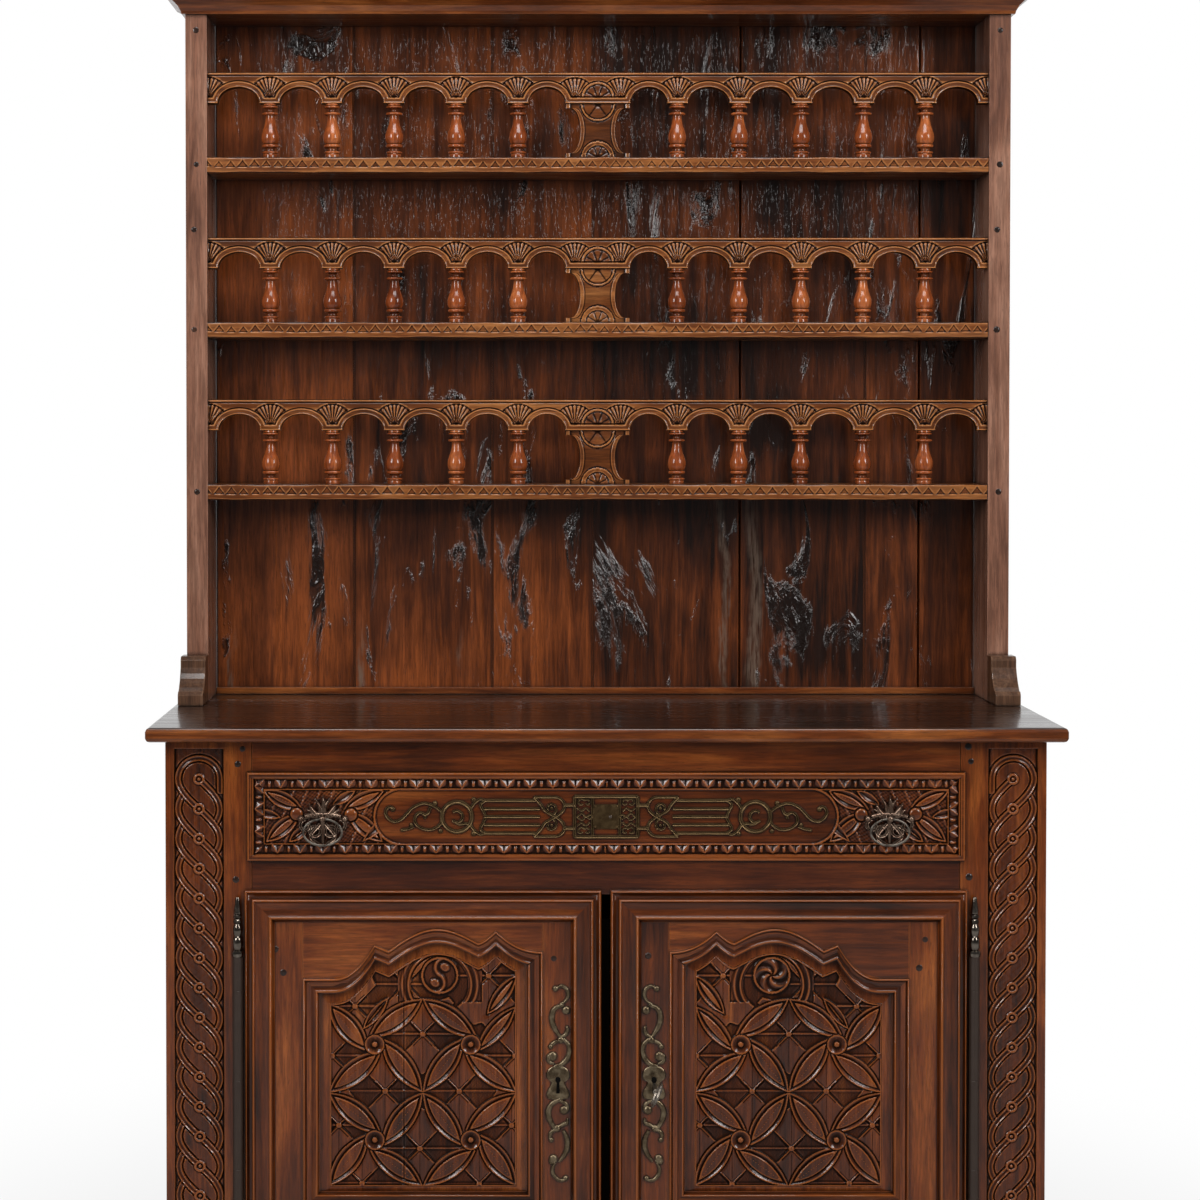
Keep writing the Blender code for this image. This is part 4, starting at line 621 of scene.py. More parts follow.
def gallery_rail(number, shelf):
    """One arcaded rail: shells over the balusters, a moulded band along the arches, a lipped top."""
    feet, arches = feet_of_rail()
    places, unders = [], []
    curves = [arch_curve(a, b, 34) for a, b in arches]
    for k, (a, b) in enumerate(feet):
        row = np.linspace(a, b, max(8, int((b - a) / 0.0011)))
        places.append(row)
        unders.append(np.full(len(row), RAIL_LOW))
        if k < len(curves):
            places.append(curves[k][0][1:-1])
            unders.append(curves[k][1][1:-1])
    x1, under = np.concatenate(places), np.concatenate(unders)
    x = np.broadcast_to(x1, (RAIL_ROWS, len(x1))).copy()
    z = under + np.linspace(0, 1, RAIL_ROWS)[:, None] * (RAIL_HIGH - under)
    near = np.full(x.shape, 1.0)
    for cx, cz in curves:
        for px, pz in zip(cx, cz):
            near = np.minimum(near, np.hypot(x - px, z - pz))
    height = np.zeros(x.shape)
    base = RAIL_LOW + 0.0085
    for place in STATIONS + [-GALLERY_REACH, GALLERY_REACH]:
        height = fan(height, x, z, (place, base), SHELL_RADIUS, SHELL_LOBES)
    for place in SPLAT_SHELLS:
        height = fan(height, x, z, (place, base - 0.002), SHELL_RADIUS + 0.001, SHELL_LOBES)
    height = half_rosette(height, x, z, (0.0, base), 0.0275, 9, 1)
    height = np.where((np.abs(x) < SPLAT_HALF) & (z < base), 0.0006, height)
    near = np.where(under == RAIL_LOW, np.minimum(near, z - RAIL_LOW), near)
    height = np.minimum(height, -0.0004)
    height -= 0.0016 * ridge(near, 0.0008, ARCH_BAND + 0.0011)
    band = 1 - step(ARCH_BAND - 0.0003, ARCH_BAND + 0.0006, near)
    arris = ridge(near, 0.0009, ARCH_BAND - 0.0014) + ridge(near, 0.0009, 0.0016)
    raised = 0.0006 + 0.0009 * arris - 0.0011 * (1 - step(0.0, 0.0010, near))
    height = height * (1 - band) + band * raised
    top = RAIL_HIGH - z
    height += 0.0012 * ridge(top, 0.0016, 0.0022) - 0.0010 * ridge(top, 0.0009, 0.0052)
    height -= 0.0016 * (1 - step(0.0, 0.0016, top))
    place = (x, z + shelf, height, RAIL_FRONT_Y, RAIL_BACK_Y)
    return carving(f"gallery_rail_{number}", *place, "carcass", hutch_carved, "hutch_wood", 0.2)


def gallery_splat(number, shelf):
    """Hourglass splat with half rosettes at its head and foot."""
    middle, half = RAIL_LOW / 2, RAIL_LOW / 2 - SPLAT_LEDGE
    turn = np.linspace(0, math.pi, 73)
    shoulder = SPLAT_HALF - SPLAT_LEDGE
    waist = shoulder - (shoulder - SPLAT_WAIST) * np.sin(turn)
    foot = np.linspace(0.0002, SPLAT_LEDGE, LEDGE_ROWS)
    head = np.linspace(RAIL_LOW - SPLAT_LEDGE, RAIL_LOW + 0.001, LEDGE_ROWS)
    levels = np.concatenate([foot, middle - half * np.cos(turn), head])
    ledge = np.full(LEDGE_ROWS, SPLAT_HALF)
    widths = np.concatenate([ledge, waist, ledge])
    x = widths[:, None] * np.linspace(-1, 1, 81)[None, :]
    z = np.broadcast_to(levels[:, None], x.shape).copy()
    edge = widths[:, None] - np.abs(x)
    height = -0.0014 * step(0.0065, 0.0080, edge)
    height = half_rosette(height, x, z, (0.0, 0.0), 0.0275, 9, 1, 0.26)
    height = half_rosette(height, x, z, (0.0, RAIL_LOW), 0.0285, 5, -1, 0.10)
    height -= 0.0012 * (1 - step(0.0, 0.0018, edge))
    place = (x, z + shelf, height, SPLAT_FRONT_Y, SPLAT_BACK_Y)
    return carving(f"gallery_splat_{number}", *place, "carcass", hutch_carved, "hutch_wood")


def gallery_balusters(number, shelf):
    parts = Parts()
    outline = [(r / 1000, BALUSTER_TOP * (1 - fall)) for fall, r in reversed(BALUSTER_TURNING)]
    profile = smooth_profile(outline, 2)
    for place in STATIONS:
        parts.add(*lathe(profile, (place, BALUSTER_Y, shelf), BALUSTER_SIDES))
    return parts.piece(f"gallery_balusters_{number}", "carcass", turned_wood, "hutch_wood", 55)


# Shelf edges with a row of chip-cut triangles

CHIP_PITCH = 0.0193
CHIP_HALF = 0.0094
CHIP_HEIGHT = 0.0118
EDGE_FRONT_Y = 0.1466
EDGE_BACK_Y = 0.1500
EDGE_STEP = 0.00105
EDGE_ROWS = 25


def shelf_edge(number, top):
    """The strip on a shelf's front edge, its chips a little uneven."""
    low, high = top - 0.0252, top - 0.0003
    x1 = np.arange(-GALLERY_REACH, GALLERY_REACH, EDGE_STEP)
    x, z = np.meshgrid(x1, np.linspace(low, high, EDGE_ROWS))
    slot = np.floor(x / CHIP_PITCH)
    wobble = 0.0009 * np.sin(12.99 * slot + number)
    size = 1 + 0.12 * np.sin(7.7 * slot + 2 * number)
    dx = np.abs(x - (slot + 0.5) * CHIP_PITCH - wobble) / (CHIP_HALF * size)
    rise = (z - low - 0.0088 - 0.0006 * np.sin(5.1 * slot)) / (CHIP_HEIGHT * size)
    inside = np.minimum(rise, (1 - dx - rise) * 0.75)
    cut = np.clip(inside * 0.0105, 0, 0.0028)
    arris = np.minimum(z - low, high - z)
    wear = 0.00022 * (np.sin(x * 91 + number) + np.sin(x * 37.3 + z * 40))
    height = -cut - 0.0013 * (1 - step(0.0, 0.0022 + wear * 3, arris)) + wear * 0.5
    place = (x, z, height, EDGE_FRONT_Y, EDGE_BACK_Y)
    return carving(f"shelf_edge_{number}", *place, "carcass", hutch_carved, "hutch_wood", 0.3)


for number, shelf_top in enumerate(SHELF_TOPS, start=1):
    rail = gallery_rail(number, shelf_top)
    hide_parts(f"gallery_{number}")
    gallery_splat(number, shelf_top)
    gallery_balusters(number, shelf_top)
for number, shelf_top in enumerate(SHELF_TOPS, start=1):
    shelf_edge(number, shelf_top)


# Door panels: an interlaced pattern of leaves, flowers and bosses cut into the arched field

PANEL_FACE_Y = -0.1962
FIELD_Y = -0.1992
PANEL_BACK_Y = -0.1862
PANEL_X = (0.1059, 0.4341)  # lock side, hinge side
PANEL_Z = (0.2524, 0.6605)
FIELD_X = (0.1322, 0.4078)
FIELD_LOW = 0.2712
FIELD_MIDDLE = (0.2706, 0.4110)
HEAD_START = 0.447  # hinge-side corner of the arched head
HEAD_SPAN = 0.354
HEAD_Z = 0.583
HEAD_RISE = 0.0735
HEAD_STEP = 0.040
FIELD_DROP = 0.0392  # carved field below the head's line
FIELD_COLUMNS = 345
FIELD_ROWS = (176, 215)
GROUND_GRID = (165, 205)
HEAD_BREAKS = (0.300, 0.358, 0.729, 0.804)  # shares of the span: cusp, valley, valley, cusp

# Carving, in millimetres from the middle of the field; u runs towards the meeting stiles
FAR = 99.0  # farther than any place of the carving
SHRINKAGE_CRACK = -27.8
BOSS_AT = 71.0
BOSS_RADIUS = 15.0
TIP_AT = 139.0
LEAF_HALF = 17.0
ALMOND_INSET = 7.0
FLOWERS = (
    (0.0, 86.7), (-55.6, 1.8), (53.9, 1.8), (-4.3, -83.5), (-134.0, 54.4), (136.6, 54.4), (-124.0, -49.0),
    (131.5, -49.0), (-89.8, -135.3), (83.5, -136.6), (-25.3, 160.6), (97.4, 173.2), (-100.0, 128.0),
)
SIDE_LEAVES = (((139.0, 174.0), (95.0, 116.0), 11.0), ((-51.0, 140.0), (-88.0, 94.0), 8.0))
ROUNDEL = (25.3, 174.0, 27.5)
FLOWER_BUTTON = 4.4
BOSS_BUTTON = 4.2
BOSS_DISH = 12.8


def head_rise(share):
    """Height of the panel's head above its hinge-side corner, from the hinge side to the lock side."""
    one, two, three, four = HEAD_BREAKS
    peak, valley = 0.678 * HEAD_RISE, 0.558 * HEAD_RISE
    far_valley, far_peak = 0.717 * HEAD_RISE, 0.957 * HEAD_RISE
    first = peak * (np.clip(share - 0.125, 0, None) / 0.175) ** 2.2
    second = peak + (valley - peak) * (share - one) / (two - one)
    t = np.clip((share - two) / (three - two), 0, 1)
    chord = valley + (far_valley - valley) * t
    third = chord + (HEAD_RISE - (valley + far_valley) / 2) * np.sin(math.pi * t)
    fourth = far_valley + (far_peak - far_valley) * (np.clip(share - three, 0, None) / (four - three)) ** 1.5
    last = HEAD_STEP + (far_peak - HEAD_STEP) * (np.clip(1 - share, 0, None) / (1 - four)) ** 2.2
    return np.select([share <= end for end in HEAD_BREAKS], [first, second, third, fourth], last)


def panel_leaves():
    """Axes of the pointed leaves: each boss throws four of them, turned a little like a pinwheel."""
    leaves = []
    for a in (-1, 1):
        for b in (-1, 1):
            boss = np.array([a * BOSS_AT, b * BOSS_AT])
            for c, d in ((0, b), (a, 0), (0, 0), (a, b)):
                tip = np.array([c * TIP_AT, d * TIP_AT])
                if (c, d) == (-1, 1):
                    tip[1] = 132.0
                if (c, d) == (1, 1):
                    tip = np.array([138.0, 128.0])
                way = (tip - boss) / np.linalg.norm(tip - boss)
                side = np.array([way[1], -way[0]]) * a * b
                width = LEAF_HALF if (c, d) != (1, 1) else 13.0
                leaves.append((tip, boss + side * BOSS_RADIUS * 0.9, width))
    leaves += [(np.array(tip), np.array(base), width) for tip, base, width in SIDE_LEAVES]
    return leaves


def leaf_cut(height, outside, u, v, tip, base, half):
    """Cuts one leaf: thin rim, hollow bevel, raised almond with punched dots."""
    axis = base - tip
    length = np.linalg.norm(axis)
    along = ((u - tip[0]) * axis[0] + (v - tip[1]) * axis[1]) / length
    across = ((v - tip[1]) * axis[0] - (u - tip[0]) * axis[1]) / length
    s = 2 * along / length - 1
    slope = 4 * half * s / length
    depth = (half * (1 - s * s) - np.abs(across)) / np.sqrt(1 + slope * slope)
    gap = np.where(np.abs(s) < 1, -depth, np.hypot(across, (np.abs(s) - 1) * length / 2))
    outside = np.minimum(outside, gap)
    core = (half - ALMOND_INSET) * (1 - (s / 0.80) ** 2) - np.abs(across)
    share = np.clip(depth, 0, None) / (np.clip(depth, 0, None) + np.clip(-core, 0, None) + 1e-6)
    rim = -0.1 - 0.3 * np.clip(depth / 2.0, 0, 1)
    bevel = -0.4 - 3.0 * np.clip((share - 0.25) / 0.75, 0, 1) ** 0.8
    almond = -1.5 + 1.2 * (1 - np.exp(-np.clip(core, 0, None) / 0.9)) + 0.05 * np.clip(core, 0, None)
    beat = (along + 2.3) % 4.6 - 2.3
    dots = ridge(beat, 0.8) * ridge(across, 0.9) * (core > 2)
    carved = np.where(depth < 2.0, rim, np.where(core > 0, almond + 0.5 * dots, bevel))
    inside = (depth > 0) & (np.abs(s) < 1)
    return np.where(inside, carved, height), outside


def flower_ground(u, v, outside):
    """Four-petalled flowers in the hollows between the leaves."""
    far = np.full(u.shape, 1e3)
    du, dv = np.zeros(u.shape), np.zeros(u.shape)
    for fu, fv in FLOWERS:
        reach = np.hypot(u - fu, v - fv)
        nearer = reach < far
        far = np.where(nearer, reach, far)
        du, dv = np.where(nearer, u - fu, du), np.where(nearer, v - fv, dv)
    swell = 1 - np.exp(-np.clip(outside, 0, None) / 3.0)
    upright = np.abs(dv) > np.abs(du)
    tall = -3.2 + 2.5 * swell - 0.5 * ridge(du, 0.9)
    wide = -2.5 - 1.3 * swell + 1.3 * ridge(dv, 1.5)
    ground = np.where(upright, tall, wide)
    seam = np.abs(np.abs(du) - np.abs(dv)) / math.sqrt(2)
    ground += 1.1 * ridge(seam, 1.0) * (far < 24) - 0.9 * ridge(seam, 1.0, 2.2) * (far < 22)
    button = -1.6 + 1.9 * ball(far, FLOWER_BUTTON)
    return np.where(far < FLOWER_BUTTON, button, np.minimum(ground, -0.1))


def boss_cut(height, u, v, bu, bv):
    """Dished boss with a rim and a button in its middle."""
    reach = np.hypot(u - bu, v - bv)
    dish = -0.4 - 3.3 * (1 - np.clip((reach - BOSS_BUTTON) / (BOSS_DISH - BOSS_BUTTON), 0, 1) ** 1.6)
    button = -2.6 + 2.5 * ball(reach, BOSS_BUTTON)
    carved = np.where(reach < BOSS_BUTTON, button, np.where(reach < BOSS_DISH, dish, -0.1))
    carved = np.where(np.abs(reach - 15.3) < 0.7, -2.2, carved)
    return np.where(reach < 16.0, carved, height)


def roundel_cut(height, u, v, swirl):
    """Round motif under the arch: an S of two scrolls, or a whorl of curved blades."""
    cu, cv, radius = ROUNDEL
    du, dv = u - cu, v - cv
    reach, turn = np.hypot(du, dv), np.arctan2(dv, du)
    if swirl:
        carved = -1.7 + 1.5 * np.sin(5 * turn + reach * 0.32) - 0.8 * (1 - step(0, 7, reach))
    else:
        lean = math.radians(-32)
        p = du * math.cos(lean) + dv * math.sin(lean)
        q = dv * math.cos(lean) - du * math.sin(lean)
        half = radius / 2
        upper, lower = np.hypot(p, q - half), np.hypot(p, q + half)
        upper, lower = np.abs(upper - half), np.abs(lower - half)
        line = np.minimum(np.where(p < 0, upper, FAR), np.where(p > 0, lower, FAR))
        carved = -3.0 + 2.9 * ridge(line, 2.6)
        bulb = np.minimum(np.hypot(p, (q - half) * 1.25), np.hypot(p, (q + half) * 1.25))
        carved = np.maximum(carved, -0.8 - 2.2 * step(4.5, 9.0, bulb))
    carved = np.where(np.abs(reach - radius + 1.6) < 1.6, -0.1, carved)
    carved = np.where(np.abs(reach - radius - 0.8) < 0.9, -2.8, carved)
    return np.where(reach < radius + 1.6, carved, height)


def crescents(height, u, v):
    """Curved ribs either side of the round motif."""
    cu, cv, radius = ROUNDEL
    reach = np.hypot(u - cu, v - cv + 14)
    ribs = -2.6 + 2.4 * ridge(reach, 1.8, radius + 19)
    ribs = np.maximum(ribs, -2.6 + 2.0 * ridge(reach, 2.2, radius + 28))
    return np.where((v > 134) & (reach > radius + 15) & (np.abs(u - cu) < 62), ribs, height)


def carved_field(sign, x, z):
    """Depth of the carving below the field's face, in metres, over a grid of places on one door."""
    u = (FIELD_MIDDLE[0] - np.abs(x)) * 1000
    v = (z - FIELD_MIDDLE[1]) * 1000
    leaves = panel_leaves()
    outside = np.full(u.shape, FAR)
    blank = np.zeros(u.shape)
    for leaf in leaves:
        outside = leaf_cut(blank, outside, u, v, *leaf)[1]
    height = crescents(flower_ground(u, v, outside), u, v)
    height = roundel_cut(height, u, v, sign > 0)
    for leaf in leaves:
        height = leaf_cut(height, outside, u, v, *leaf)[0]
    for a in (-1, 1):
        for b in (-1, 1):
            height = boss_cut(height, u, v, a * BOSS_AT, b * BOSS_AT)
    tooling = 0.10 * np.sin(u * 1.9 + 3 * np.sin(v * 0.7)) * np.sin(v * 2.3 + 2 * np.sin(u * 0.5))
    height += tooling * (height < -0.6)
    if sign < 0:
        height -= 1.6 * ridge(u, 0.5, SHRINKAGE_CRACK)
    rim = np.minimum(np.minimum(x - x.min(), x.max() - x), z - FIELD_LOW)
    rim = np.minimum(rim, (head_of(x, FIELD_DROP) - z) * 0.8) * 1000
    return np.where(rim < 2.2, -0.1 - 0.6 * (1 - np.clip(rim / 0.8, 0, 1)), height) / 1000


def head_of(x, drop):
    """The arched head's height at x, lowered by a drop."""
    return HEAD_Z + head_rise((HEAD_START - np.abs(x)) / HEAD_SPAN) - drop


def door_panel(side, sign):
    """The carved field in two halves, and the bevelled panel round it."""
    x1 = np.sort(sign * np.linspace(*FIELD_X, FIELD_COLUMNS))
    top = head_of(x1, FIELD_DROP)
    cut = FIELD_MIDDLE[1]
    halves = (("lower", FIELD_LOW, np.full(len(x1), cut)), ("upper", cut, top))
    for (part, low, ends), rows in zip(halves, FIELD_ROWS):
        x = np.broadcast_to(x1, (rows, len(x1))).copy()
        z = low + np.linspace(0, 1, rows)[:, None] * (ends - low)
        height = carved_field(sign, x, z)
        place = (x, z, height, FIELD_Y, PANEL_FACE_Y + 0.0030)
        look = (f"door_{side}", base_carved["z"], "base_wood", 0.07)
        made = carving(f"door_{side}_carving_{part}", *place, *look)
        if part == "lower":
            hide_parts(f"door_{side}_panel")
    x1 = np.sort(sign * np.linspace(*PANEL_X, GROUND_GRID[0]))
    x, z = np.meshgrid(x1, np.linspace(*PANEL_Z, GROUND_GRID[1]))
    inner = np.minimum(np.abs(x) - FIELD_X[0], FIELD_X[1] - np.abs(x))
    inner = np.minimum(np.minimum(inner, z - FIELD_LOW), head_of(x, FIELD_DROP) - z)
    ramp = np.clip(1 + inner / 0.012, 0, 1)
    waves = 0.00015 * np.sin(z * 190 + 2 * np.sin(x * 60))
    front = PANEL_FACE_Y - 0.0022 * ramp - waves * ramp
    front = np.where(inner > 0.0013, PANEL_FACE_Y + 0.0024, front)
    verts, polys = slab(x, z, front, PANEL_BACK_Y)
    ground = (verts, polys, f"door_{side}", base_wood["z"], "base_wood")
    sharpen(new_piece(f"door_{side}_panel_ground", *ground))


door_panel("left", -1)
door_panel("right", 1)


# Door frames: the mouldings' crisp fillets and hollows, laid over the plain solids

DOOR_X = (0.0065, 0.5335)  # lock edge, hinge edge
DOOR_Z = (0.1530, 0.7120)
FLAT_END = 0.0865
CUSPS = (HEAD_BREAKS[0], HEAD_BREAKS[-1])
ARCH_STEPS = 141
# Millimetres inwards from the door's edge and above the carcass front;
# rubbed with a painted highlight (1) or waxed with painted shade (-1)
OUTER_MOULDING = (
    (0.2, 1.0, -0.6), (0.2, 4.6, 0), (0.8, 6.2, 0.4), (2.0, 7.2, 0.9), (3.4, 7.2, 0.6), (4.4, 6.5, -0.2),
    (10.4, 6.5, -0.3), (11.4, 7.0, -1), (11.8, 12.4, -0.2), (12.5, 14.4, 0.6), (13.8, 15.5, 1),
    (15.2, 15.4, 0.6), (16.4, 14.7, 0), (18.5, 13.9, -0.2), (21.5, 13.4, -0.3), (26.0, 13.2, -0.3),
    (30.0, 13.4, -0.2), (33.5, 14.0, 0), (36.2, 15.0, 0.1), (37.0, 16.2, 0.5), (38.4, 17.2, 1),
    (40.0, 17.3, 1), (41.5, 16.6, 0.5), (42.5, 15.0, 0), (42.9, 12.2, -0.6), (45.2, 11.8, 0.3),
    (45.8, 9.2, -1), (45.8, 1.0, -1),
)
# The same from the edge of the flat
INNER_MOULDING = (
    (0.2, 1.0, -1), (0.2, 9.4, -1), (0.4, 12.0, 0.2), (1.0, 13.8, 0.9), (2.2, 14.4, 1), (3.2, 14.0, 0.5),
    (4.0, 12.6, -0.2), (5.4, 10.8, -0.6), (8.0, 9.0, -0.7), (10.4, 8.0, -0.7), (12.8, 7.4, -0.6),
    (15.2, 7.2, -0.5), (17.4, 7.6, -0.4), (18.8, 8.6, 0.2), (19.8, 9.4, 0.9), (21.0, 9.5, 0.9),
    (22.2, 8.6, 0.2), (23.2, 6.0, -0.6), (23.4, 1.0, -1),
)
RUBBED_AND_LIT = 0.0004  # relief value of a fully rubbed edge and its painted highlight


def run_moulding(form, marks, section, place, shares=(0.0, 1.0)):
    """One mitred length: place gives a point for a distance, a height and a share of the way along."""
    rings = [[place(u / 1000, h / 1000, share) for u, h, mark in section] for share in shares]
    form.add(np.array(rings).reshape(-1, 3), tube_faces(len(shares), len(section)))
    marks += [mark * RUBBED_AND_LIT for u, h, mark in section] * len(shares)


def moulded(form, marks, name, body, material):
    """One piece of the mouldings; its relief holds the painted highlights of rubbed arrises and the painted
    shade of waxed hollows.
    """
    piece = outward(form.piece(name, body, material, "base_wood", 75))
    layer = piece.data.attributes.new("relief", "FLOAT", "POINT")
    layer.data.foreach_set("value", np.array(marks, np.float32))


def door_mouldings(side, sign):
    """Outer moulding round a door and inner moulding round its panel, mitred at the corners."""
    upright, level, upright_marks, level_marks = Parts(), Parts(), [], []
    low, high = DOOR_Z
    lock, hinge = DOOR_X
    sight_lock = HEAD_START - HEAD_SPAN

    def between(share, first, last):
        return first + (last - first) * share

    for edge, way in ((hinge, -1), (lock, 1)):

        def outer_post(u, h, share, edge=edge, way=way):
            return sign * (edge + way * u), FRONT_Y - h, between(share, low + u, high - u)

        run_moulding(upright, upright_marks, OUTER_MOULDING, outer_post)
    for edge, way in ((low, 1), (high, -1)):

        def outer_bar(u, h, share, edge=edge, way=way):
            return sign * between(share, hinge - u, lock + u), FRONT_Y - h, edge + way * u

        run_moulding(level, level_marks, OUTER_MOULDING, outer_bar)
    for edge, way, head in ((HEAD_START, -1, HEAD_Z), (sight_lock, 1, HEAD_Z + HEAD_STEP)):

        def inner_post(d, h, share, edge=edge, way=way, head=head):
            return sign * (edge + way * d), FRONT_Y - h, between(share, low + FLAT_END + d, head - d)

        run_moulding(upright, upright_marks, INNER_MOULDING, inner_post)

    def inner_sill(d, h, share):
        return sign * between(share, HEAD_START - d, sight_lock + d), FRONT_Y - h, low + FLAT_END + d

    def inner_arch(d, h, share):
        end = d / HEAD_SPAN
        reach = np.interp(share, (0.0, *CUSPS, 1.0), (end, *CUSPS, 1 - end))
        top = HEAD_Z + float(head_rise(np.array(reach)))
        return sign * (HEAD_START - reach * HEAD_SPAN), FRONT_Y - h, top - d

    run_moulding(level, level_marks, INNER_MOULDING, inner_sill)
    bends = np.unique(np.concatenate([np.linspace(0, 1, ARCH_STEPS), HEAD_BREAKS]))
    run_moulding(level, level_marks, INNER_MOULDING, inner_arch, bends)
    moulded(upright, upright_marks, f"door_{side}_mouldings_upright", f"door_{side}", base_carved["z"])
    moulded(level, level_marks, f"door_{side}_mouldings_level", f"door_{side}", base_carved["x"])


door_mouldings("left", -1)
door_mouldings("right", 1)


# Carved strips on the front stiles: running S-bands through ringed bosses, tucked under one another

STRIP_X = (0.5640, 0.6370)
STRIP_Z = (0.0850, 0.9205)
STRIP_FLOOR_Y = -0.1942
STRIP_GRID = (92, 960)
BAND_PITCH = 44.2  # millimetres from here on
BAND_REACH = 31.0
BAND_DROP = 90.0
BAND_HALF = 4.6
BAND_TUCK = 0.77  # radians a band runs on past the strip's edge, under its neighbour
FIRST_BOSS = 45.0
BOSS_DOT = 3.0


def lay_band(height, off, half):
    """Lays a band with two raised rims over the carving; off is the distance from its middle line."""
    band = -0.9 + 1.2 * ridge(off, 0.9, half - 1.3) - 0.5 * ridge(off, 1.2)
    beside = ridge(off, 0.9, half + 0.9)
    edge = step(-0.2, 0.9, half - off)
    return np.maximum(height - 1.7 * beside, -4.0) * (1 - edge) + band * edge


def from_line(u, v, line):
    """Distance of each place from a line of points."""
    off = np.full(u.shape, FAR)
    for (ua, va), (ub, vb) in zip(line, line[1:]):
        du, dv = ub - ua, vb - va
        along = np.clip(((u - ua) * du + (v - va) * dv) / (du**2 + dv**2), 0, 1)
        off = np.minimum(off, np.hypot(u - ua - along * du, v - va - along * dv))
    return off


def half_band(height, u, v, boss, low, high):
    """Lays one half of the band that runs through a boss, between two turns of its course."""
    near = np.nonzero(np.abs(v[:, 0] - boss) < BAND_DROP * 0.8)[0]
    if len(near) == 0:
        return
    rows = slice(near[0], near[-1] + 1)
    turns = np.linspace(low, high, 26)
    line = [(-BAND_REACH * math.cos(t), boss + BAND_DROP * (t / math.pi - 0.5)) for t in turns]
    laid = lay_band(height[rows], from_line(u[rows], v[rows], line), BAND_HALF)
    own = u[rows] <= 0 if low < 0 else u[rows] > 0
    height[rows] = np.where(own & (v[rows] > FIRST_BOSS - 12), laid, height[rows])


def ringed_boss(height, reach):
    """Lays a small dot with a ring round it; reach is the distance from its middle."""
    ring = np.maximum(-0.8 * ((reach - 6.6) / 1.7) ** 2, -2.8)
    boss = np.where(reach < BOSS_DOT, -2.6 + 2.7 * ball(reach, BOSS_DOT), ring)
    return np.where(reach < 9.0, np.maximum(boss, np.where(reach > 8.2, height, -9.0)), height)


def band_relief(u, v):
    """Height in millimetres over the strip; u across it and v down from its top."""
    height = -1.9 - 1.9 * step(BAND_REACH - 2.0, BAND_REACH + 4.0, np.abs(u))
    height += 0.14 * np.sin(u * 0.5 + np.sin(v * 0.3)) * np.sin(v * 0.37)
    height += 0.1 * np.sin(u * 1.3) * np.sin(v * 1.7)
    count = int((STRIP_Z[1] - STRIP_Z[0]) * 1000 / BAND_PITCH) + 3
    places = [FIRST_BOSS + k * BAND_PITCH for k in range(count)]
    arch = lay_band(height, np.abs(np.hypot(u, v - FIRST_BOSS) - BAND_REACH), BAND_HALF)
    side = lay_band(height, np.abs(u - BAND_REACH), BAND_HALF)
    height = np.where(v < FIRST_BOSS, arch, np.where((u > 0) & (v < FIRST_BOSS + 22), side, height))
    for place in places[:0:-1]:
        half_band(height, u, v, place, -BAND_TUCK, math.pi / 2)
    for place in places:
        half_band(height, u, v, place, math.pi / 2, math.pi + BAND_TUCK)
    for place in places:
        height = ringed_boss(height, np.hypot(u, v - place))
    frame_line = step(BAND_REACH + 4.6, BAND_REACH + 5.2, np.abs(u))
    return height * (1 - frame_line) - 0.25 * frame_line


def stile_strip(side, sign):
    middle = sign * (STRIP_X[0] + STRIP_X[1]) / 2
    half = (STRIP_X[1] - STRIP_X[0]) / 2 - 0.0001
    across = middle + np.linspace(-half, half, STRIP_GRID[0])
    x, z = np.meshgrid(across, np.linspace(*STRIP_Z, STRIP_GRID[1]))
    height = band_relief((x - middle) * -sign * 1000, (STRIP_Z[1] - z) * 1000) / 1000
    place = (x, z, height, FRONT_Y, STRIP_FLOOR_Y)
    return carving(f"stile_carving_{side}", *place, "carcass", base_carved["z"], "base_wood", 0.0)


stile_strip("left", -1)
stile_strip("right", 1)


# Drawer front: moulded lip, a border of leaf teeth, carved ends and a plain sunk cartouche

DRAWER_HALF = 0.5295
DRAWER_Z = (0.7550, 0.8870)
DRAWER_FACE_Y = -0.2055
LIP_BACK_Y = -0.1988
DRAWER_BODY = ((-0.5205, -0.1990, 0.7640), (0.5205, -0.1866, 0.8780))
DRAWER_CUT = 0.300  # where the carving is divided into three pieces
DRAWER_COLUMNS = (290, 520, 290)
DRAWER_ROWS = 178
CARTOUCHE_HALF = 0.3405
CARTOUCHE_TALL = 0.0405
TOOTH_PITCH = 33.4  # millimetres from here on
TOOTH_BAND = (10.6, 25.0)
PULL_AT = 417.0
END_LEAVES = (
    ((-90, 38), (-30, 10), 12.0), ((-88, -38), (-36, 6), 13.0), ((88, 38), (30, 10), 12.0),
    ((84, -38), (34, 4), 12.0), ((-58, -38), (-102, 4), 7.0), ((-48, 38), (-14, 16), 7.0),
    ((50, -38), (20, -14), 8.0), ((102, 8), (62, -2), 7.0),
)
END_BOSSES = ((-41.0, 2.0), (39.0, 3.0))
END_BOSS_RADIUS = 9.5


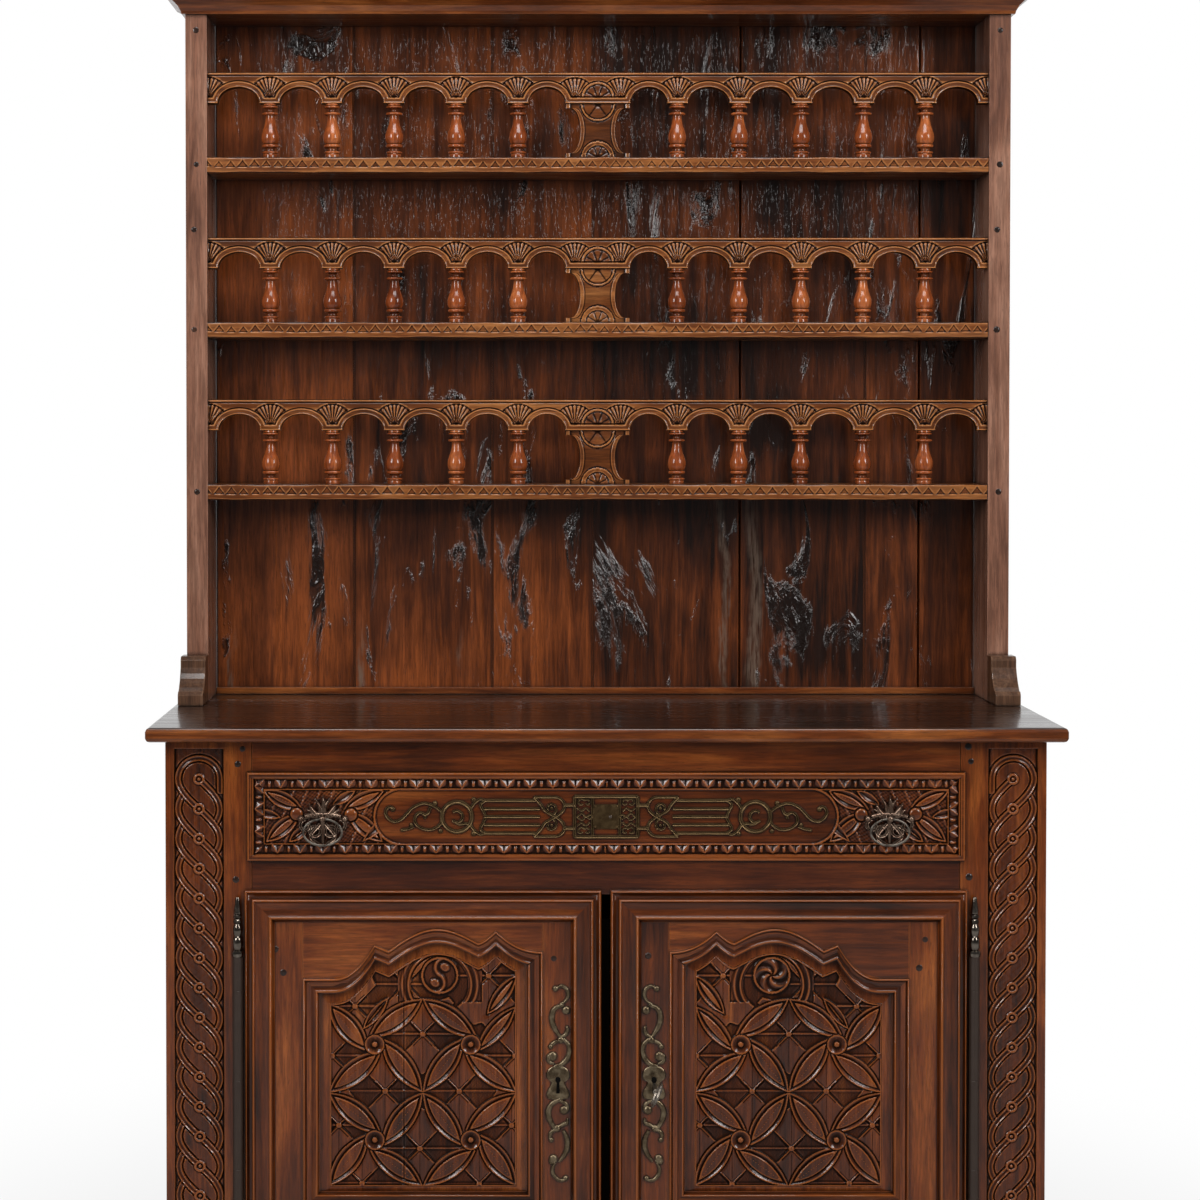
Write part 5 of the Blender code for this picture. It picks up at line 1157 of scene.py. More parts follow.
def teeth(run, rise):
    """One row of leaf teeth in spread pairs with a drop between; run along the border, rise across it."""
    tall = TOOTH_BAND[1] - TOOTH_BAND[0]
    unit = np.floor(run / TOOTH_PITCH)
    p = run - (unit + 0.5) * TOOTH_PITCH
    spread = 10.0 + 1.2 * np.sin(4.7 * unit)
    aside = np.abs(p)
    lean = np.hypot(spread, tall)
    along = (aside * spread + rise * tall) / lean**2
    across = (aside * tall - rise * spread) / lean
    width = 6.4 * np.clip(np.sin(np.pi * np.clip(along, 0.02, 0.98)), 0, 1) ** 0.55
    leaf = 3.4 * np.clip(1 - np.abs(across + 0.9) / (width + 0.01), 0, 1)
    between = np.abs(aside - TOOTH_PITCH / 2)
    drop = 2.8 * np.clip(1 - np.hypot(between / 3.0, (rise - 0.45 * tall) / 6.0), 0, 1) ** 0.8
    return -3.4 + np.maximum(leaf, drop)


def end_field(u, v):
    """Leaves, bosses and small flowers round a handle; u and v from the handle, u away from the middle."""
    outside = np.full(u.shape, FAR)
    cut = -2.9 + 1.4 * ridge(np.sin(u * 0.16 + v * 0.07), 0.35)
    cut += 0.25 * np.sin(u * 0.9) * np.sin(v * 1.1 + u * 0.3)
    for tip, base, half in END_LEAVES:
        cut = leaf_cut(cut, outside, u, v, np.array(tip, float), np.array(base, float), half)[0]
    for bu, bv in END_BOSSES:
        reach = np.hypot(u - bu, v - bv)
        boss = -2.6 + 4.2 * ball(reach, END_BOSS_RADIUS)
        cut = np.where(reach < END_BOSS_RADIUS, boss, np.where(reach < 11.5, -3.2, cut))
    return cut


def drawer_relief(x, z):
    """Height over the whole drawer front in millimetres above its face."""
    a = np.abs(x) * 1000
    v = (z - (DRAWER_Z[0] + DRAWER_Z[1]) / 2) * 1000
    half, tall = DRAWER_HALF * 1000, (DRAWER_Z[1] - DRAWER_Z[0]) * 500
    rim_u, rim_v = half - a, tall - np.abs(v)
    rim = np.minimum(rim_u, rim_v)
    left = x < 0
    height = end_field(a - PULL_AT, v - 0.8)
    run = np.where(left, half - a, a)
    upper = teeth(run, v - (tall - TOOTH_BAND[1]))
    lower = teeth(run + 5.0, v + (tall - TOOTH_BAND[0]))
    upright = teeth(v + tall + 6.0, np.where(left, rim_u - TOOTH_BAND[0], TOOTH_BAND[1] - rim_u))
    border = np.where(rim_u < rim_v, upright, np.where(v > 0, upper, lower))
    height = np.where(rim < TOOTH_BAND[1], border, height)
    height = np.where(np.abs(rim - TOOTH_BAND[1] - 0.7) < 0.8, -0.1, height)
    bar = np.clip(a - (CARTOUCHE_HALF - CARTOUCHE_TALL) * 1000, 0, None)
    inner = CARTOUCHE_TALL * 1000 - np.hypot(bar, v)
    floor = -1.9 + 0.05 * np.sin(x * 61) + 0.04 * np.sin(v * 0.23 + 5 * np.sin(x * 9))
    lined = np.where(inner > 1.4, floor, np.where(inner > 0.4, -0.9, 0.35))
    height = np.where((inner > -2.4) & ((rim > TOOTH_BAND[1] - 0.4) | (inner > -1.6)), lined, height)
    crest = 2.8 - 6.0 * (1 - np.clip(rim / 2.2, 0, 1)) ** 2 - 0.5 * ((rim - 5.0) / 4.0) ** 2
    lip = np.select([rim > 9.6, rim > 8.2, rim > 7.6], [0.2, 2.0, 1.0], crest)
    return np.where(rim < TOOTH_BAND[0], lip, height)


def drawer_front():
    ends = (-DRAWER_HALF, -DRAWER_CUT, DRAWER_CUT, DRAWER_HALF)
    spans = zip(("left", "middle", "right"), ends, ends[1:], DRAWER_COLUMNS)
    for part, start, end, columns in spans:
        x, z = np.meshgrid(np.linspace(start, end, columns), np.linspace(*DRAWER_Z, DRAWER_ROWS))
        height = drawer_relief(x, z) / 1000
        place = (x, z, height, DRAWER_FACE_Y, LIP_BACK_Y)
        made = carving(f"drawer_carving_{part}", *place, "drawer", base_carved["x"], "base_wood", 0.05)
        if part == "middle":
            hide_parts("drawer_front")
    body = Parts()
    body.add(*box_form(*DRAWER_BODY))
    body.piece("drawer_front_board", "drawer", base_wood["x"], "base_wood")


drawer_front()


# Metalwork: the drawer's pierced mount, handles, scrolled lock plates and hinge rods


def mirrored(half):
    """A list of points up to the middle line, and their mirror images back from it."""
    return (*half, *((-u, v) for u, v in half[-2::-1]))


# Section of a mount's bar: share of its width, share of its thickness
GROOVED = mirrored(((-0.5, 0.0), (-0.5, 0.7), (-0.38, 1.0), (-0.22, 0.95), (0.0, 0.5)))
DOMED = mirrored(((-0.5, 0.0), (-0.5, 0.3), (-0.42, 0.62), (-0.24, 0.9), (0.0, 1.0)))
FULL_BAR = 0.006  # narrower bars are thinner too
RING_STEPS = 40
CURL_STEPS = 28


def sweep_bar(points, widths, back, thick, section=GROOVED, closed=False):
    """A bar with the given section along a path in the upright plane; widths at each point."""
    path = np.asarray(points, float)
    if closed:
        ahead, behind = np.roll(path, -1, 0), np.roll(path, 1, 0)
    else:
        ahead, behind = np.vstack([path[1:], path[-1]]), np.vstack([path[0], path[:-1]])
    way = ahead - behind
    way /= np.linalg.norm(way, axis=1)[:, None]
    normal = np.stack([-way[:, 1], way[:, 0]], -1)
    widths = np.broadcast_to(np.asarray(widths, float), len(path))
    aside, raised = np.array(section).T
    flat = path[:, None] + (normal * widths[:, None])[:, None] * aside[:, None]
    depth = back - thick * np.minimum(1.0, 0.35 + widths / FULL_BAR)[:, None] * raised
    rings = np.stack([flat[..., 0], depth, flat[..., 1]], -1)
    return rings.reshape(-1, 3), tube_faces(len(path), len(section), closed)


def dome(centre, radius, back, height, sides=20, rings=6):
    """A low round knob standing on a plate."""
    profile = [(radius, 0.0)]
    for k in range(rings + 1):
        turn = k / rings * 0.97 * math.pi / 2
        profile.append((radius * math.cos(turn), -0.15 * height - 0.85 * height * math.sin(turn)))
    return lathe(profile, (centre[0], back, centre[1]), sides, "Y")


def outlined_plate(outline, back, thick, bevel):
    """A flat plate with a bevelled front edge, from the points of its outline."""
    points = np.asarray(outline, float)
    middle = points.mean(0)
    inner = points + (middle - points) / np.linalg.norm(middle - points, axis=1)[:, None] * bevel
    rings = [(points, back), (points, back - thick * 0.6), (inner, back - thick)]
    verts = np.concatenate([np.stack([p[:, 0], np.full(len(p), y), p[:, 1]], -1) for p, y in rings])
    return verts, tube_faces(len(rings), len(points))


def round_path(centre, radius, turn):
    return np.stack([centre[0] + radius * np.cos(turn), centre[1] + radius * np.sin(turn)], -1)


def ring_path(centre, radius):
    """A full circle."""
    return round_path(centre, radius, np.arange(RING_STEPS) * 2 * math.pi / RING_STEPS)


def curl_path(centre, start_radius, end_radius, start, end):
    """Part of a spiral, between two angles in degrees."""
    radius = np.linspace(start_radius, end_radius, CURL_STEPS)
    return round_path(centre, radius, np.radians(np.linspace(start, end, CURL_STEPS)))


# Drawer mount, one half; millimetres outwards from its middle and upwards from its middle line
MOUNT_BACK_Y = -0.2037
MOUNT_THICK = 0.0026
MOUNT_MIDDLE_Z = 0.8210
MOUNT_BAR = 4.2
BAR_SWELL = 1.2
BAR_LEVELS = (-24.3, -12.0, 0.0, 11.6, 24.0)
MOUNT_PAIRS = (  # each has a mirror image below the middle line
    ((106, 29), (84, 29), (70, 28), (62, 20), (63, 10), (70, 3), (80, -3), (90, -9), (96, -18), (106, -29)),
    ((178, 24), (186, 26), (194, 20), (199, 13)),
)
MOUNT_CURVES = (
    *([(u, up * v) for u, v in path] for path in MOUNT_PAIRS for up in (1, -1)),
    ((178, 24), (185, 18), (181, 9), (178, 0), (181, -9), (185, -18), (178, -24)),
    ((242, -6), (246, -13), (258, -19), (272, -17), (281, -9), (281, 0), (275, 6), (267, 3), (267, -3)),
    (
        (243, 8), (252, 15), (268, 20), (284, 14), (293, 5), (302, -4), (313, -7), (322, -1), (325, 7),
        (321, 14), (314, 14),
    ),
    ((259, 14), (262, 6), (268, 2)),
    ((283, -14), (292, -18), (300, -19)),
)
MOUNT_KNOBS = (
    (195, 25, 4.0), (195, -25, 4.0), (244, -21, 3.6), (252, 20, 3.6), (287, -12, 3.2), (314, 11, 3.8),
    (301, -20, 2.6),
)
FRAME_CORNERS = ((-46.5, -29.8), (46.5, -29.8), (46.5, 29.8), (-46.5, 29.8))
PLATE_CORNERS = ((-18.5, -18.0), (18.5, -18.0), (18.5, 18.5), (-18.5, 18.5))


def drawer_mount():
    """Pierced mount: scrolls, bars and rings mirrored either side of a framed middle plate."""
    bars = Parts()

    def bar(path, width=MOUNT_BAR, closed=False, sides=(-1, 1)):
        path = np.asarray(path, float)
        wide = BAR_SWELL * width / 1000
        for side in sides:
            placed = np.stack([path[:, 0] * side / 1000, MOUNT_MIDDLE_Z + path[:, 1] / 1000], -1)
            bars.add(*sweep_bar(placed, wide, MOUNT_BACK_Y, MOUNT_THICK, GROOVED, closed))

    def knob(u, v, radius, height=0.0034):
        for side in (-1, 1):
            centre = (side * u / 1000, MOUNT_MIDDLE_Z + v / 1000)
            bars.add(*dome(centre, radius / 1000, MOUNT_BACK_Y, height))

    for path in MOUNT_CURVES:
        bar(smooth_profile(path, 5), 3.6)
    for level in BAR_LEVELS:
        bar([(98 if abs(level) < 20 else 104, level), (140, level), (180, level)])
    for level in (-17.2, 16.8):
        bar([(45, level), (63, level)], 4.6)
    bar(ring_path((219.8, 0), 22.0), 5.2, True)
    bar(curl_path((220, 0), 9.0, 8.0, 50, 320), 3.6)
    bar(smooth_profile([(226, -6), (216, -11), (205, -10), (197, -16)], 5), 3.4)
    for up in (-1, 1):
        bar(curl_path((82, 12.5 * up), 10.0, 3.2, 250 * up, -40 * up), 3.0)
        knob(80, 12.5 * up, 3.0)
    for u, v, radius in MOUNT_KNOBS:
        knob(u, v, radius)
    for (a, b), (c, d) in zip(FRAME_CORNERS, FRAME_CORNERS[1:] + FRAME_CORNERS[:1]):
        bar([(a, b), ((a + c) / 2, (b + d) / 2), (c, d)], 4.6, sides=(1,))
    bar([(20, -28), (20, 0), (20, 28)], 3.6)
    for up in (-1, 1):
        bar(curl_path((37, 21 * up), 6.0, 2.4, 150, -150), 2.4)
        bar(curl_path((28, 21 * up), 5.0, 2.2, 30, 330), 2.2)
        bar(smooth_profile([(43, 13 * up), (36, 9 * up), (30, 13 * up), (24, 8 * up)], 5), 2.4)
        bar(smooth_profile([(43, 0), (36, 5 * up), (30, 0), (24, 3 * up), (20, 0)], 5), 2.4)
    outline = [(x / 1000, MOUNT_MIDDLE_Z + z / 1000) for x, z in PLATE_CORNERS]
    bars.add(*outlined_plate(outline, MOUNT_BACK_Y, 0.0022, 0.0008))
    for u, v in ((16.3, 15.8), (16.3, -15.4)):
        knob(u, v, 2.4, 0.0044)
    made = outward(bars.piece("drawer_mount", "drawer", bronze, "bronze", 45))
    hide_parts("drawer_fretwork")
    hole = Parts()
    hole.add(*dome((0.0060, MOUNT_MIDDLE_Z), 0.0024, MOUNT_BACK_Y - 0.0021, 0.0005, 16, 3))
    outward(hole.piece("drawer_keyhole", "drawer", dark_iron, "iron"))


drawer_mount()


# Handles: a crown of flame leaves over a pierced plate, and an oval ring

PLATE_BACK_Y = -0.2058
PULL_X = 0.417
PULL_Z = 0.8190
RING_PIVOT_Y = -0.2141
RING_HALVES = (0.0283, 0.0195)
FLAMES = mirrored(((-82, 25), (-62, 30), (-42, 31), (-21, 34), (0, 36)))  # lean in degrees, length
POST_TURNING = ((4.4, 0), (3.52, -3), (4.4, -5), (3.784, -8), (4.576, -10), (3.52, -12.6), (0.4, -13.8))


def handle(side, sign):
    """The fixed part of a handle; millimetres from the ring's pivot."""
    form = Parts()

    def at(points):
        return [(sign * PULL_X + u / 1000, PULL_Z + v / 1000) for u, v in points]

    def bar(points, width, thick, section=GROOVED, closed=False):
        form.add(*sweep_bar(points, width, PLATE_BACK_Y, thick, section, closed))

    for k, (turn, length) in enumerate(FLAMES):
        lean = math.radians(turn)
        bend_at = 4.0 * math.sin(k * 2.1 + 0.6)
        tip = np.array([math.sin(lean), math.cos(lean)]) * length
        line = [(8 * math.sin(lean), 0), (0.55 * tip[0] + bend_at, 0.5 * tip[1])]
        line.append((tip[0] * 0.98, tip[1] * 0.92 + 2))
        path = smooth_profile(at(line), 6)
        odd = k % 2
        widths = 0.0105 * np.clip(1.02 - np.linspace(0, 1, len(path)) ** 2, 0.05, 1) * (1.0 - 0.2 * odd)
        bar(path, widths, 0.0058 - 0.0012 * odd, DOMED)

    def band(reach, count):
        turns = np.linspace(-reach, reach, count)
        return at([(27 * math.sin(a), 5.5 - 5 * (1 - math.cos(a))) for a in turns])

    bar(band(1.25, 21), 0.0085, 0.0062, DOMED)
    for spot in band(1.15, 11):
        form.add(*dome(spot, 0.0019, PLATE_BACK_Y - 0.0050, 0.0026, 10, 3))
    for a in (-1, 1):
        bar(ring_path(at([(11.5 * a, -19)])[0], 0.0078), 0.0048, 0.0034, closed=True)
        bar(curl_path(at([(25 * a, -11)])[0], 0.0095, 0.004, 90, 90 - 330 * a), 0.0052, 0.0036)
        form.add(*dome(at([(32 * a, -1)])[0], 0.0052, PLATE_BACK_Y, 0.0064))
        bar(smooth_profile(at([(4 * a, -8), (18 * a, -27), (6 * a, -38)]), 6), 0.0052, 0.0034)
    bar(at([(0, 2), (0, -16), (0, -38)]), [0.010, 0.006, 0.004], 0.0040, DOMED)
    post = smooth_profile([(r / 1000, y / 1000) for r, y in POST_TURNING], 3)
    form.add(*lathe(post, (sign * PULL_X, PLATE_BACK_Y, PULL_Z), 20, "Y"))
    made = outward(form.piece(f"handle_crown_{side}", "drawer", crown_iron, "iron", 50))
    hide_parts(f"handle_plate_{side}")


def ring_pull(side, sign):
    """Oval ring of round wire, a little thicker below."""
    steps, sides = 72, 14
    turn = np.arange(steps) * 2 * math.pi / steps
    wide, tall = RING_HALVES
    middle = np.stack([wide * np.sin(turn), np.zeros(steps), tall * np.cos(turn) - tall], -1)
    out = np.stack([np.sin(turn) * tall, np.zeros(steps), np.cos(turn) * wide], -1)
    out /= np.linalg.norm(out, axis=1)[:, None]
    wire = 0.00165 + 0.00025 * (1 - np.cos(turn)) / 2
    spin = np.arange(sides) * 2 * math.pi / sides
    round_it = out[:, None] * np.cos(spin)[:, None] + np.array([0, 1, 0]) * np.sin(spin)[:, None]
    verts = middle[:, None] + round_it * wire[:, None, None]
    verts = verts.reshape(-1, 3) + (sign * PULL_X, RING_PIVOT_Y, PULL_Z)
    form = Parts()
    form.add(verts, tube_faces(steps, sides, True))
    made = outward(form.piece(f"ring_wire_{side}", f"ring_{side}", iron, "iron", 60))
    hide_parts(f"ring_pull_{side}")


# Scrolled lock plates; millimetres from the keyhole's middle, u away from the meeting of the doors

LOCK_PLATE = (0.0708, 0.4255)
LOCK_BACK_Y = -0.2078
SCROLLS = (
    ((4, 141), (-4, 146), (-12, 142), (-15, 133), (-11, 124), (-3, 119)),
    ((-8, 118), (4, 113), (9, 103), (8, 90), (2, 78), (-3, 71)),
    ((-3, 70), (-11, 74), (-14, 82), (-12, 87)),
    ((-4, 66), (4, 63), (10, 58), (11, 53)),
    ((-8, 68), (-16, 58), (-17, 47), (-12, 36), (-3, 29), (5, 28)),
    ((6, 31), (13, 34), (14, 42), (8, 45)),
    ((-3, -22), (8, -28), (14, -38), (13, -50), (7, -62), (3, -68)),
    ((-2, -24), (-11, -28), (-14, -37), (-8, -42)),
    ((3, -66), (-6, -60), (-13, -57), (-14, -50)),
    ((2, -66), (9, -70), (12, -76), (10, -84)),
    ((-8, -68), (-13, -80), (-14, -92), (-9, -105), (-2, -114)),
    ((2, -113), (10, -116), (10, -109), (5, -106)),
    ((4, -116), (8, -124), (7, -133), (0, -141), (-8, -142), (-11, -138)),
)
SCROLL_WIDTHS = (6.0, 8.6, 6.4, 6.6, 8.4, 6.6, 8.6, 6.6, 6.6, 6.4, 8.4, 6.4, 6.2)
SCROLL_BALLS = (
    (4, 142, 4.6), (-12, 110, 6.2), (8, 42, 7.0), (-9, -38, 6.6), (7, -110, 6.4), (-11, -139, 4.4),
    (-4, 66, 5.4), (1, -65, 5.4), (11, 56, 4.0), (10, -82, 4.0),
)
KEY_PLATE = mirrored((
    (0, 30), (6, 27), (12, 24), (17, 17), (16, 9), (10, 4), (12, -3), (15, -8), (17, -15), (14, -21),
    (7, -22), (0, -26),
))
KEYHOLE = mirrored(((-2.6, -13), (-2.2, 3), (-4.2, 6), (-3.6, 10.5), (0, 12.4)))


def lock_plate(side, sign):
    """Cast scrolls above and below a shaped plate with its keyhole."""
    form = Parts()

    def at(points):
        return [(sign * (LOCK_PLATE[0] + u / 1000), LOCK_PLATE[1] + v / 1000) for u, v in points]

    for path, width in zip(SCROLLS, SCROLL_WIDTHS):
        line = smooth_profile(at(path), 6)
        share = np.linspace(0, 1, len(line))
        widths = width / 1000 * (0.45 + 0.55 * np.sin(np.pi * np.clip(share * 0.9 + 0.08, 0, 1)))
        form.add(*sweep_bar(line, widths, LOCK_BACK_Y, 0.0034, DOMED))
    for u, v, radius in SCROLL_BALLS:
        form.add(*dome(at([(u, v)])[0], radius / 1000, LOCK_BACK_Y, 0.0042))
    outline = smooth_profile(at(KEY_PLATE), 3)[:-1]
    form.add(*outlined_plate(outline, LOCK_BACK_Y, 0.0026, 0.0016))
    for v in (66, -65):
        form.add(*dome(at([(-1, v)])[0], 0.0024, LOCK_BACK_Y - 0.0034, 0.0030, 12, 4))
    made = outward(form.piece(f"lock_scroll_{side}", f"door_{side}", brass, "bronze", 55))
    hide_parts(f"escutcheon_{side}")
    # The keyhole is a thin near-black sheet laid on the plate: painted shade of the hole
    hole = Parts()
    hole.add(*outlined_plate(at(KEYHOLE), LOCK_BACK_Y - 0.0022, 0.0005, 0.0003))
    outward(hole.piece(f"lock_hole_{side}", f"door_{side}", shadow_iron, "iron"))


# Hinge rods with turned finials at both ends

ROD_AT = (0.5428, -0.2078)
ROD_Z = (0.1620, 0.7030)
FINIAL = (
    (0, 0.4), (0.4, 2.6), (2, 3.2), (22, 5.6), (24, 5.6), (25, 4.4), (27, 6.3), (30, 6.5), (32, 4.5),
    (34, 6.1), (38, 6.3), (40, 4.6), (44, 6.5), (50, 7.1), (56, 6.1), (58, 5.0), (60, 6.6), (66, 7.5),
    (74, 7.3), (78, 5.8), (79.2, 8.3), (82, 8.9), (86, 8.9), (88, 8.2), (88.6, 7.5),
)
ROD_RADIUS = 0.0075
ROD_GROOVES = (0.300, 0.432, 0.565)


def hinge_rod(side, sign):
    """Plain rod with three fine grooves, and its two finials as a piece of their own."""
    at = (sign * ROD_AT[0], ROD_AT[1], 0.0)
    reach = (ROD_Z[0] + FINIAL[-1][0] / 1000, ROD_Z[1] - FINIAL[-1][0] / 1000)
    profile = [(ROD_RADIUS, reach[0])]
    for level in ROD_GROOVES:
        profile += [(ROD_RADIUS, level - 0.0006), (ROD_RADIUS - 0.0005, level), (ROD_RADIUS, level + 0.0006)]
    form = Parts()
    form.add(*lathe(profile + [(ROD_RADIUS, reach[1])], at, 28))
    made = outward(form.piece(f"hinge_{side}", "carcass", rod_iron, "iron", 35))
    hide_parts(f"hinge_rod_{side}")
    ends = Parts()
    ends.add(*lathe([(r / 1000, ROD_Z[0] + fall / 1000) for fall, r in FINIAL], at, 28))
    ends.add(*lathe([(r / 1000, ROD_Z[1] - fall / 1000) for fall, r in reversed(FINIAL)], at, 28))
    outward(ends.piece(f"hinge_finials_{side}", "carcass", finial_iron, "iron", 35))


for side, sign in (("left", -1), ("right", 1)):
    handle(side, sign)
    ring_pull(side, sign)
    lock_plate(side, sign)
    hinge_rod(side, sign)


# Inner face of the lock: cover plate and rivets

COVER_INSET = 0.006
COVER_THICK = 0.0012
RIVET_INSET = 0.0125
RIVET_PROFILE = ((0.0042, -0.0004), (0.0042, 0.0006), (0.0036, 0.0014), (0.0022, 0.0020), (0.0003, 0.0022))


def lock_cover():
    """Thin plate with a bevelled edge and four rivets on the back of the lock case."""
    case = NODES["lock_case"]
    corners = np.array([case.matrix_world @ Vector(corner) for corner in case.bound_box])
    low, high = corners.min(axis=0), corners.max(axis=0)
    face = high[1]

    def corners_at(inset):
        left, right = low[0] + inset, high[0] - inset
        foot, top = low[2] + inset, high[2] - inset
        return (left, foot), (right, foot), (right, top), (left, top)

    form = Parts()
    rings = [(0.0, -0.0004), (0.0, 0.6 * COVER_THICK), (0.0008, COVER_THICK)]
    verts = [(x, face + rise, z) for inset, rise in rings for x, z in corners_at(COVER_INSET + inset)]
    form.add(verts, tube_faces(len(rings), 4))
    for x, z in corners_at(RIVET_INSET):
        form.add(*lathe(RIVET_PROFILE, (x, face + COVER_THICK, z), 16, "Y"))
    outward(form.piece("lock_cover", "door_right", iron, "iron", 40))


lock_cover()


# Back boards of the hutch: old planks, a little cupped, with open joints and long splits

BOARD_Z = (0.9553, 2.1347)
BOARD_BACK_Y = 0.2865
BOARD_GRID = (44, 190)
TONGUE_Y = (0.2760, 0.2820)
SPLITS = (0.2390, 0.5346)
SPLIT_STEPS = (-0.0022, -0.0012, 0.0, 0.0012, 0.0022)


def back_board(number, left, right):
    """One plank: cupped face, long splits where they fall, and a tongue into its neighbour."""
    left, right = left + GAP, right - GAP
    x1 = np.linspace(left, right, BOARD_GRID[0])
    splits = [place for place in SPLITS if left < place < right]
    for place in splits:
        x1 = np.concatenate([x1, [place + aside for aside in SPLIT_STEPS]])
    x, z = np.meshgrid(np.unique(x1), np.linspace(*BOARD_Z, BOARD_GRID[1]))
    share = (x - left) / (right - left) * 2 - 1
    height = 0.0008 * (1 - share**2) * math.cos(number * 2.3)
    height += 0.00035 * np.sin(x * 83 + 4 * np.sin(z * 5 + number)) * np.sin(z * 11 + number * 1.7)
    for place in splits:
        height -= 0.006 * (1 - step(0.0006, 0.0020, np.abs(x - place)))
    verts, polys = slab(x, z, BACK_FACE_Y + 0.0012 - height, BOARD_BACK_Y)
    form = Parts()
    form.add(verts, polys)
    if right < BOARD_EDGES[-1] - 0.01:
        inner, outer = TONGUE_Y
        form.add(*box_form((right - 0.004, inner, BOARD_Z[0]), (right + 0.007, outer, BOARD_Z[1])))
    made = form.piece(f"back_plank_{number}", "carcass", back_wood, "back_wood")
    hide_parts(f"back_board_{number}")


for number in range(1, len(BOARD_EDGES)):
    back_board(number, BOARD_EDGES[number - 1], BOARD_EDGES[number])


# Oak pegs that hold the joints

CARCASS_PEGS = (
    (-0.543, 0.898), (-0.546, 0.727), (0.538, 0.902), (0.536, 0.731), (-0.5360, 0.9205), (0.5340, 0.9240),
)
LEFT_DOOR_PEGS = ((-0.487, 0.626), (-0.4755, 0.591), (-0.077, 0.612))
RIGHT_DOOR_PEGS = ((0.062, 0.616), (0.4615, 0.598), (0.470, 0.640))
HUTCH_PEG_LEVELS = (1.292, 1.552, 1.816, 1.712, 2.030)
HUTCH_PEG_X = 0.643
HUTCH_PEGS = [
    (side * HUTCH_PEG_X - 0.004 * (k % 2), z) for k, z in enumerate(HUTCH_PEG_LEVELS) for side in (-1, 1)
]
DOOR_FLAT_Y = -0.2075


def peg_heads(name, body, places, face, slot="base_wood"):
    """Slightly proud, uneven heads."""
    form = Parts()
    for k, (x, z) in enumerate(places):
        radius = 0.0047 + 0.0005 * math.sin(k * 2.7)
        rise = 0.0009 + 0.0004 * math.cos(k * 1.9)
        profile = [(radius, 0.002), (radius, -0.3 * rise), (radius * 0.86, -0.8 * rise)]
        profile += [(radius * 0.5, -rise), (0.0003, -rise)]
        form.add(*lathe(profile, (x, face, z), 14, "Y"))
    outward(form.piece(name, body, peg_wood, slot))


peg_heads("carcass_pegs", "carcass", CARCASS_PEGS, FRONT_Y)
peg_heads("door_left_pegs", "door_left", LEFT_DOOR_PEGS, DOOR_FLAT_Y)
peg_heads("door_right_pegs", "door_right", RIGHT_DOOR_PEGS, DOOR_FLAT_Y)
peg_heads("hutch_pegs", "carcass", HUTCH_PEGS, HUTCH_FRONT_Y, "hutch_wood")


# Solids that stay: finishes and softened edges

ROUNDED_EDGE = 0.0012
GRAIN_RULES = (  # the first part of a name that fits decides
    ("door_left_lock_stile", meeting_wood),
    ("stile", base_wood["z"]),
    ("base_side", base_wood["z"]),
    ("middle_rail", rail_wood),
    ("rail", base_wood["x"]),
    ("counter_top", top_wood),
    ("hutch_side", post_wood),
    ("hutch_foot", shoe_wood),
    ("cornice", edge_wood),
    ("hutch_top", hutch_wood),
    ("plate_shelf", hutch_wood),
    ("back_skirting", edge_wood),
    ("drawer_side", inner_wood["y"]),
    ("drawer_runner", inner_wood["y"]),
    ("drawer_b", inner_wood["x"]),
    ("cupboard", inner_wood["x"]),
    ("base_back", inner_wood["x"]),
)


def finish_of(node):
    return next((material for part, material in GRAIN_RULES if part in node), iron)


def soften(piece):
    """Joins the solid's split faces and rounds its sharp edges a little."""
    weld = piece.modifiers.new("weld", "WELD")
    weld.merge_threshold = 1e-5
    bevel = piece.modifiers.new("edges", "BEVEL")
    bevel.width = ROUNDED_EDGE
    bevel.segments = 2
    bevel.limit_method = "ANGLE"
    bevel.angle_limit = math.radians(35)


for node, solid in NODES.items():
    if solid.hide_render:
        continue
    material = finish_of(node)
    solid.data.materials.clear()
    solid.data.materials.append(material)
    if material is not iron or node == "lock_case":
        soften(solid)


# Stage, light and camera

WHITE = (1.0, 1.0, 1.0, 1.0)
FLOOR_GREY = (0.6, 0.6, 0.6, 1.0)
FLOOR_REACH = 14.0
AMBIENT = 0.15
FRAME_PIXELS = 1200
FOCAL_PIXELS = 2574.0
SENSOR = 36.0
CAMERA_AT = (-0.149, -3.9835, 1.383)
CAMERA_TILT = 1.3
CAMERA_SHIFT = (0.0792, -0.0888)
SIDE_BOX = (0.8, 1.6)
SOFT_BOXES = (  # name, place, target, size, watts
    ("soft_box_left", (-2.6, -2.8, 2.55), (0.0, 0.0, 1.1), SIDE_BOX, 80),
    ("soft_box_right", (2.6, -2.8, 2.55), (0.0, 0.0, 1.1), SIDE_BOX, 77),
    ("top_light", (0.0, -1.9, 3.9), (0.0, 0.0, 0.9), (2.2, 0.9), 70),
)


def rays_of(f):
    """The camera's own rays, and those that a shiny or clear surface sends on."""
    rays = f.add("ShaderNodeLightPath").outputs
    sent_on = f.maths("MAXIMUM", rays["Is Glossy Ray"], rays["Is Transmission Ray"])
    return rays["Is Camera Ray"], sent_on


def place_object(name, data):
    made = bpy.data.objects.new(name, data)
    bpy.context.scene.collection.objects.link(made)
    return made


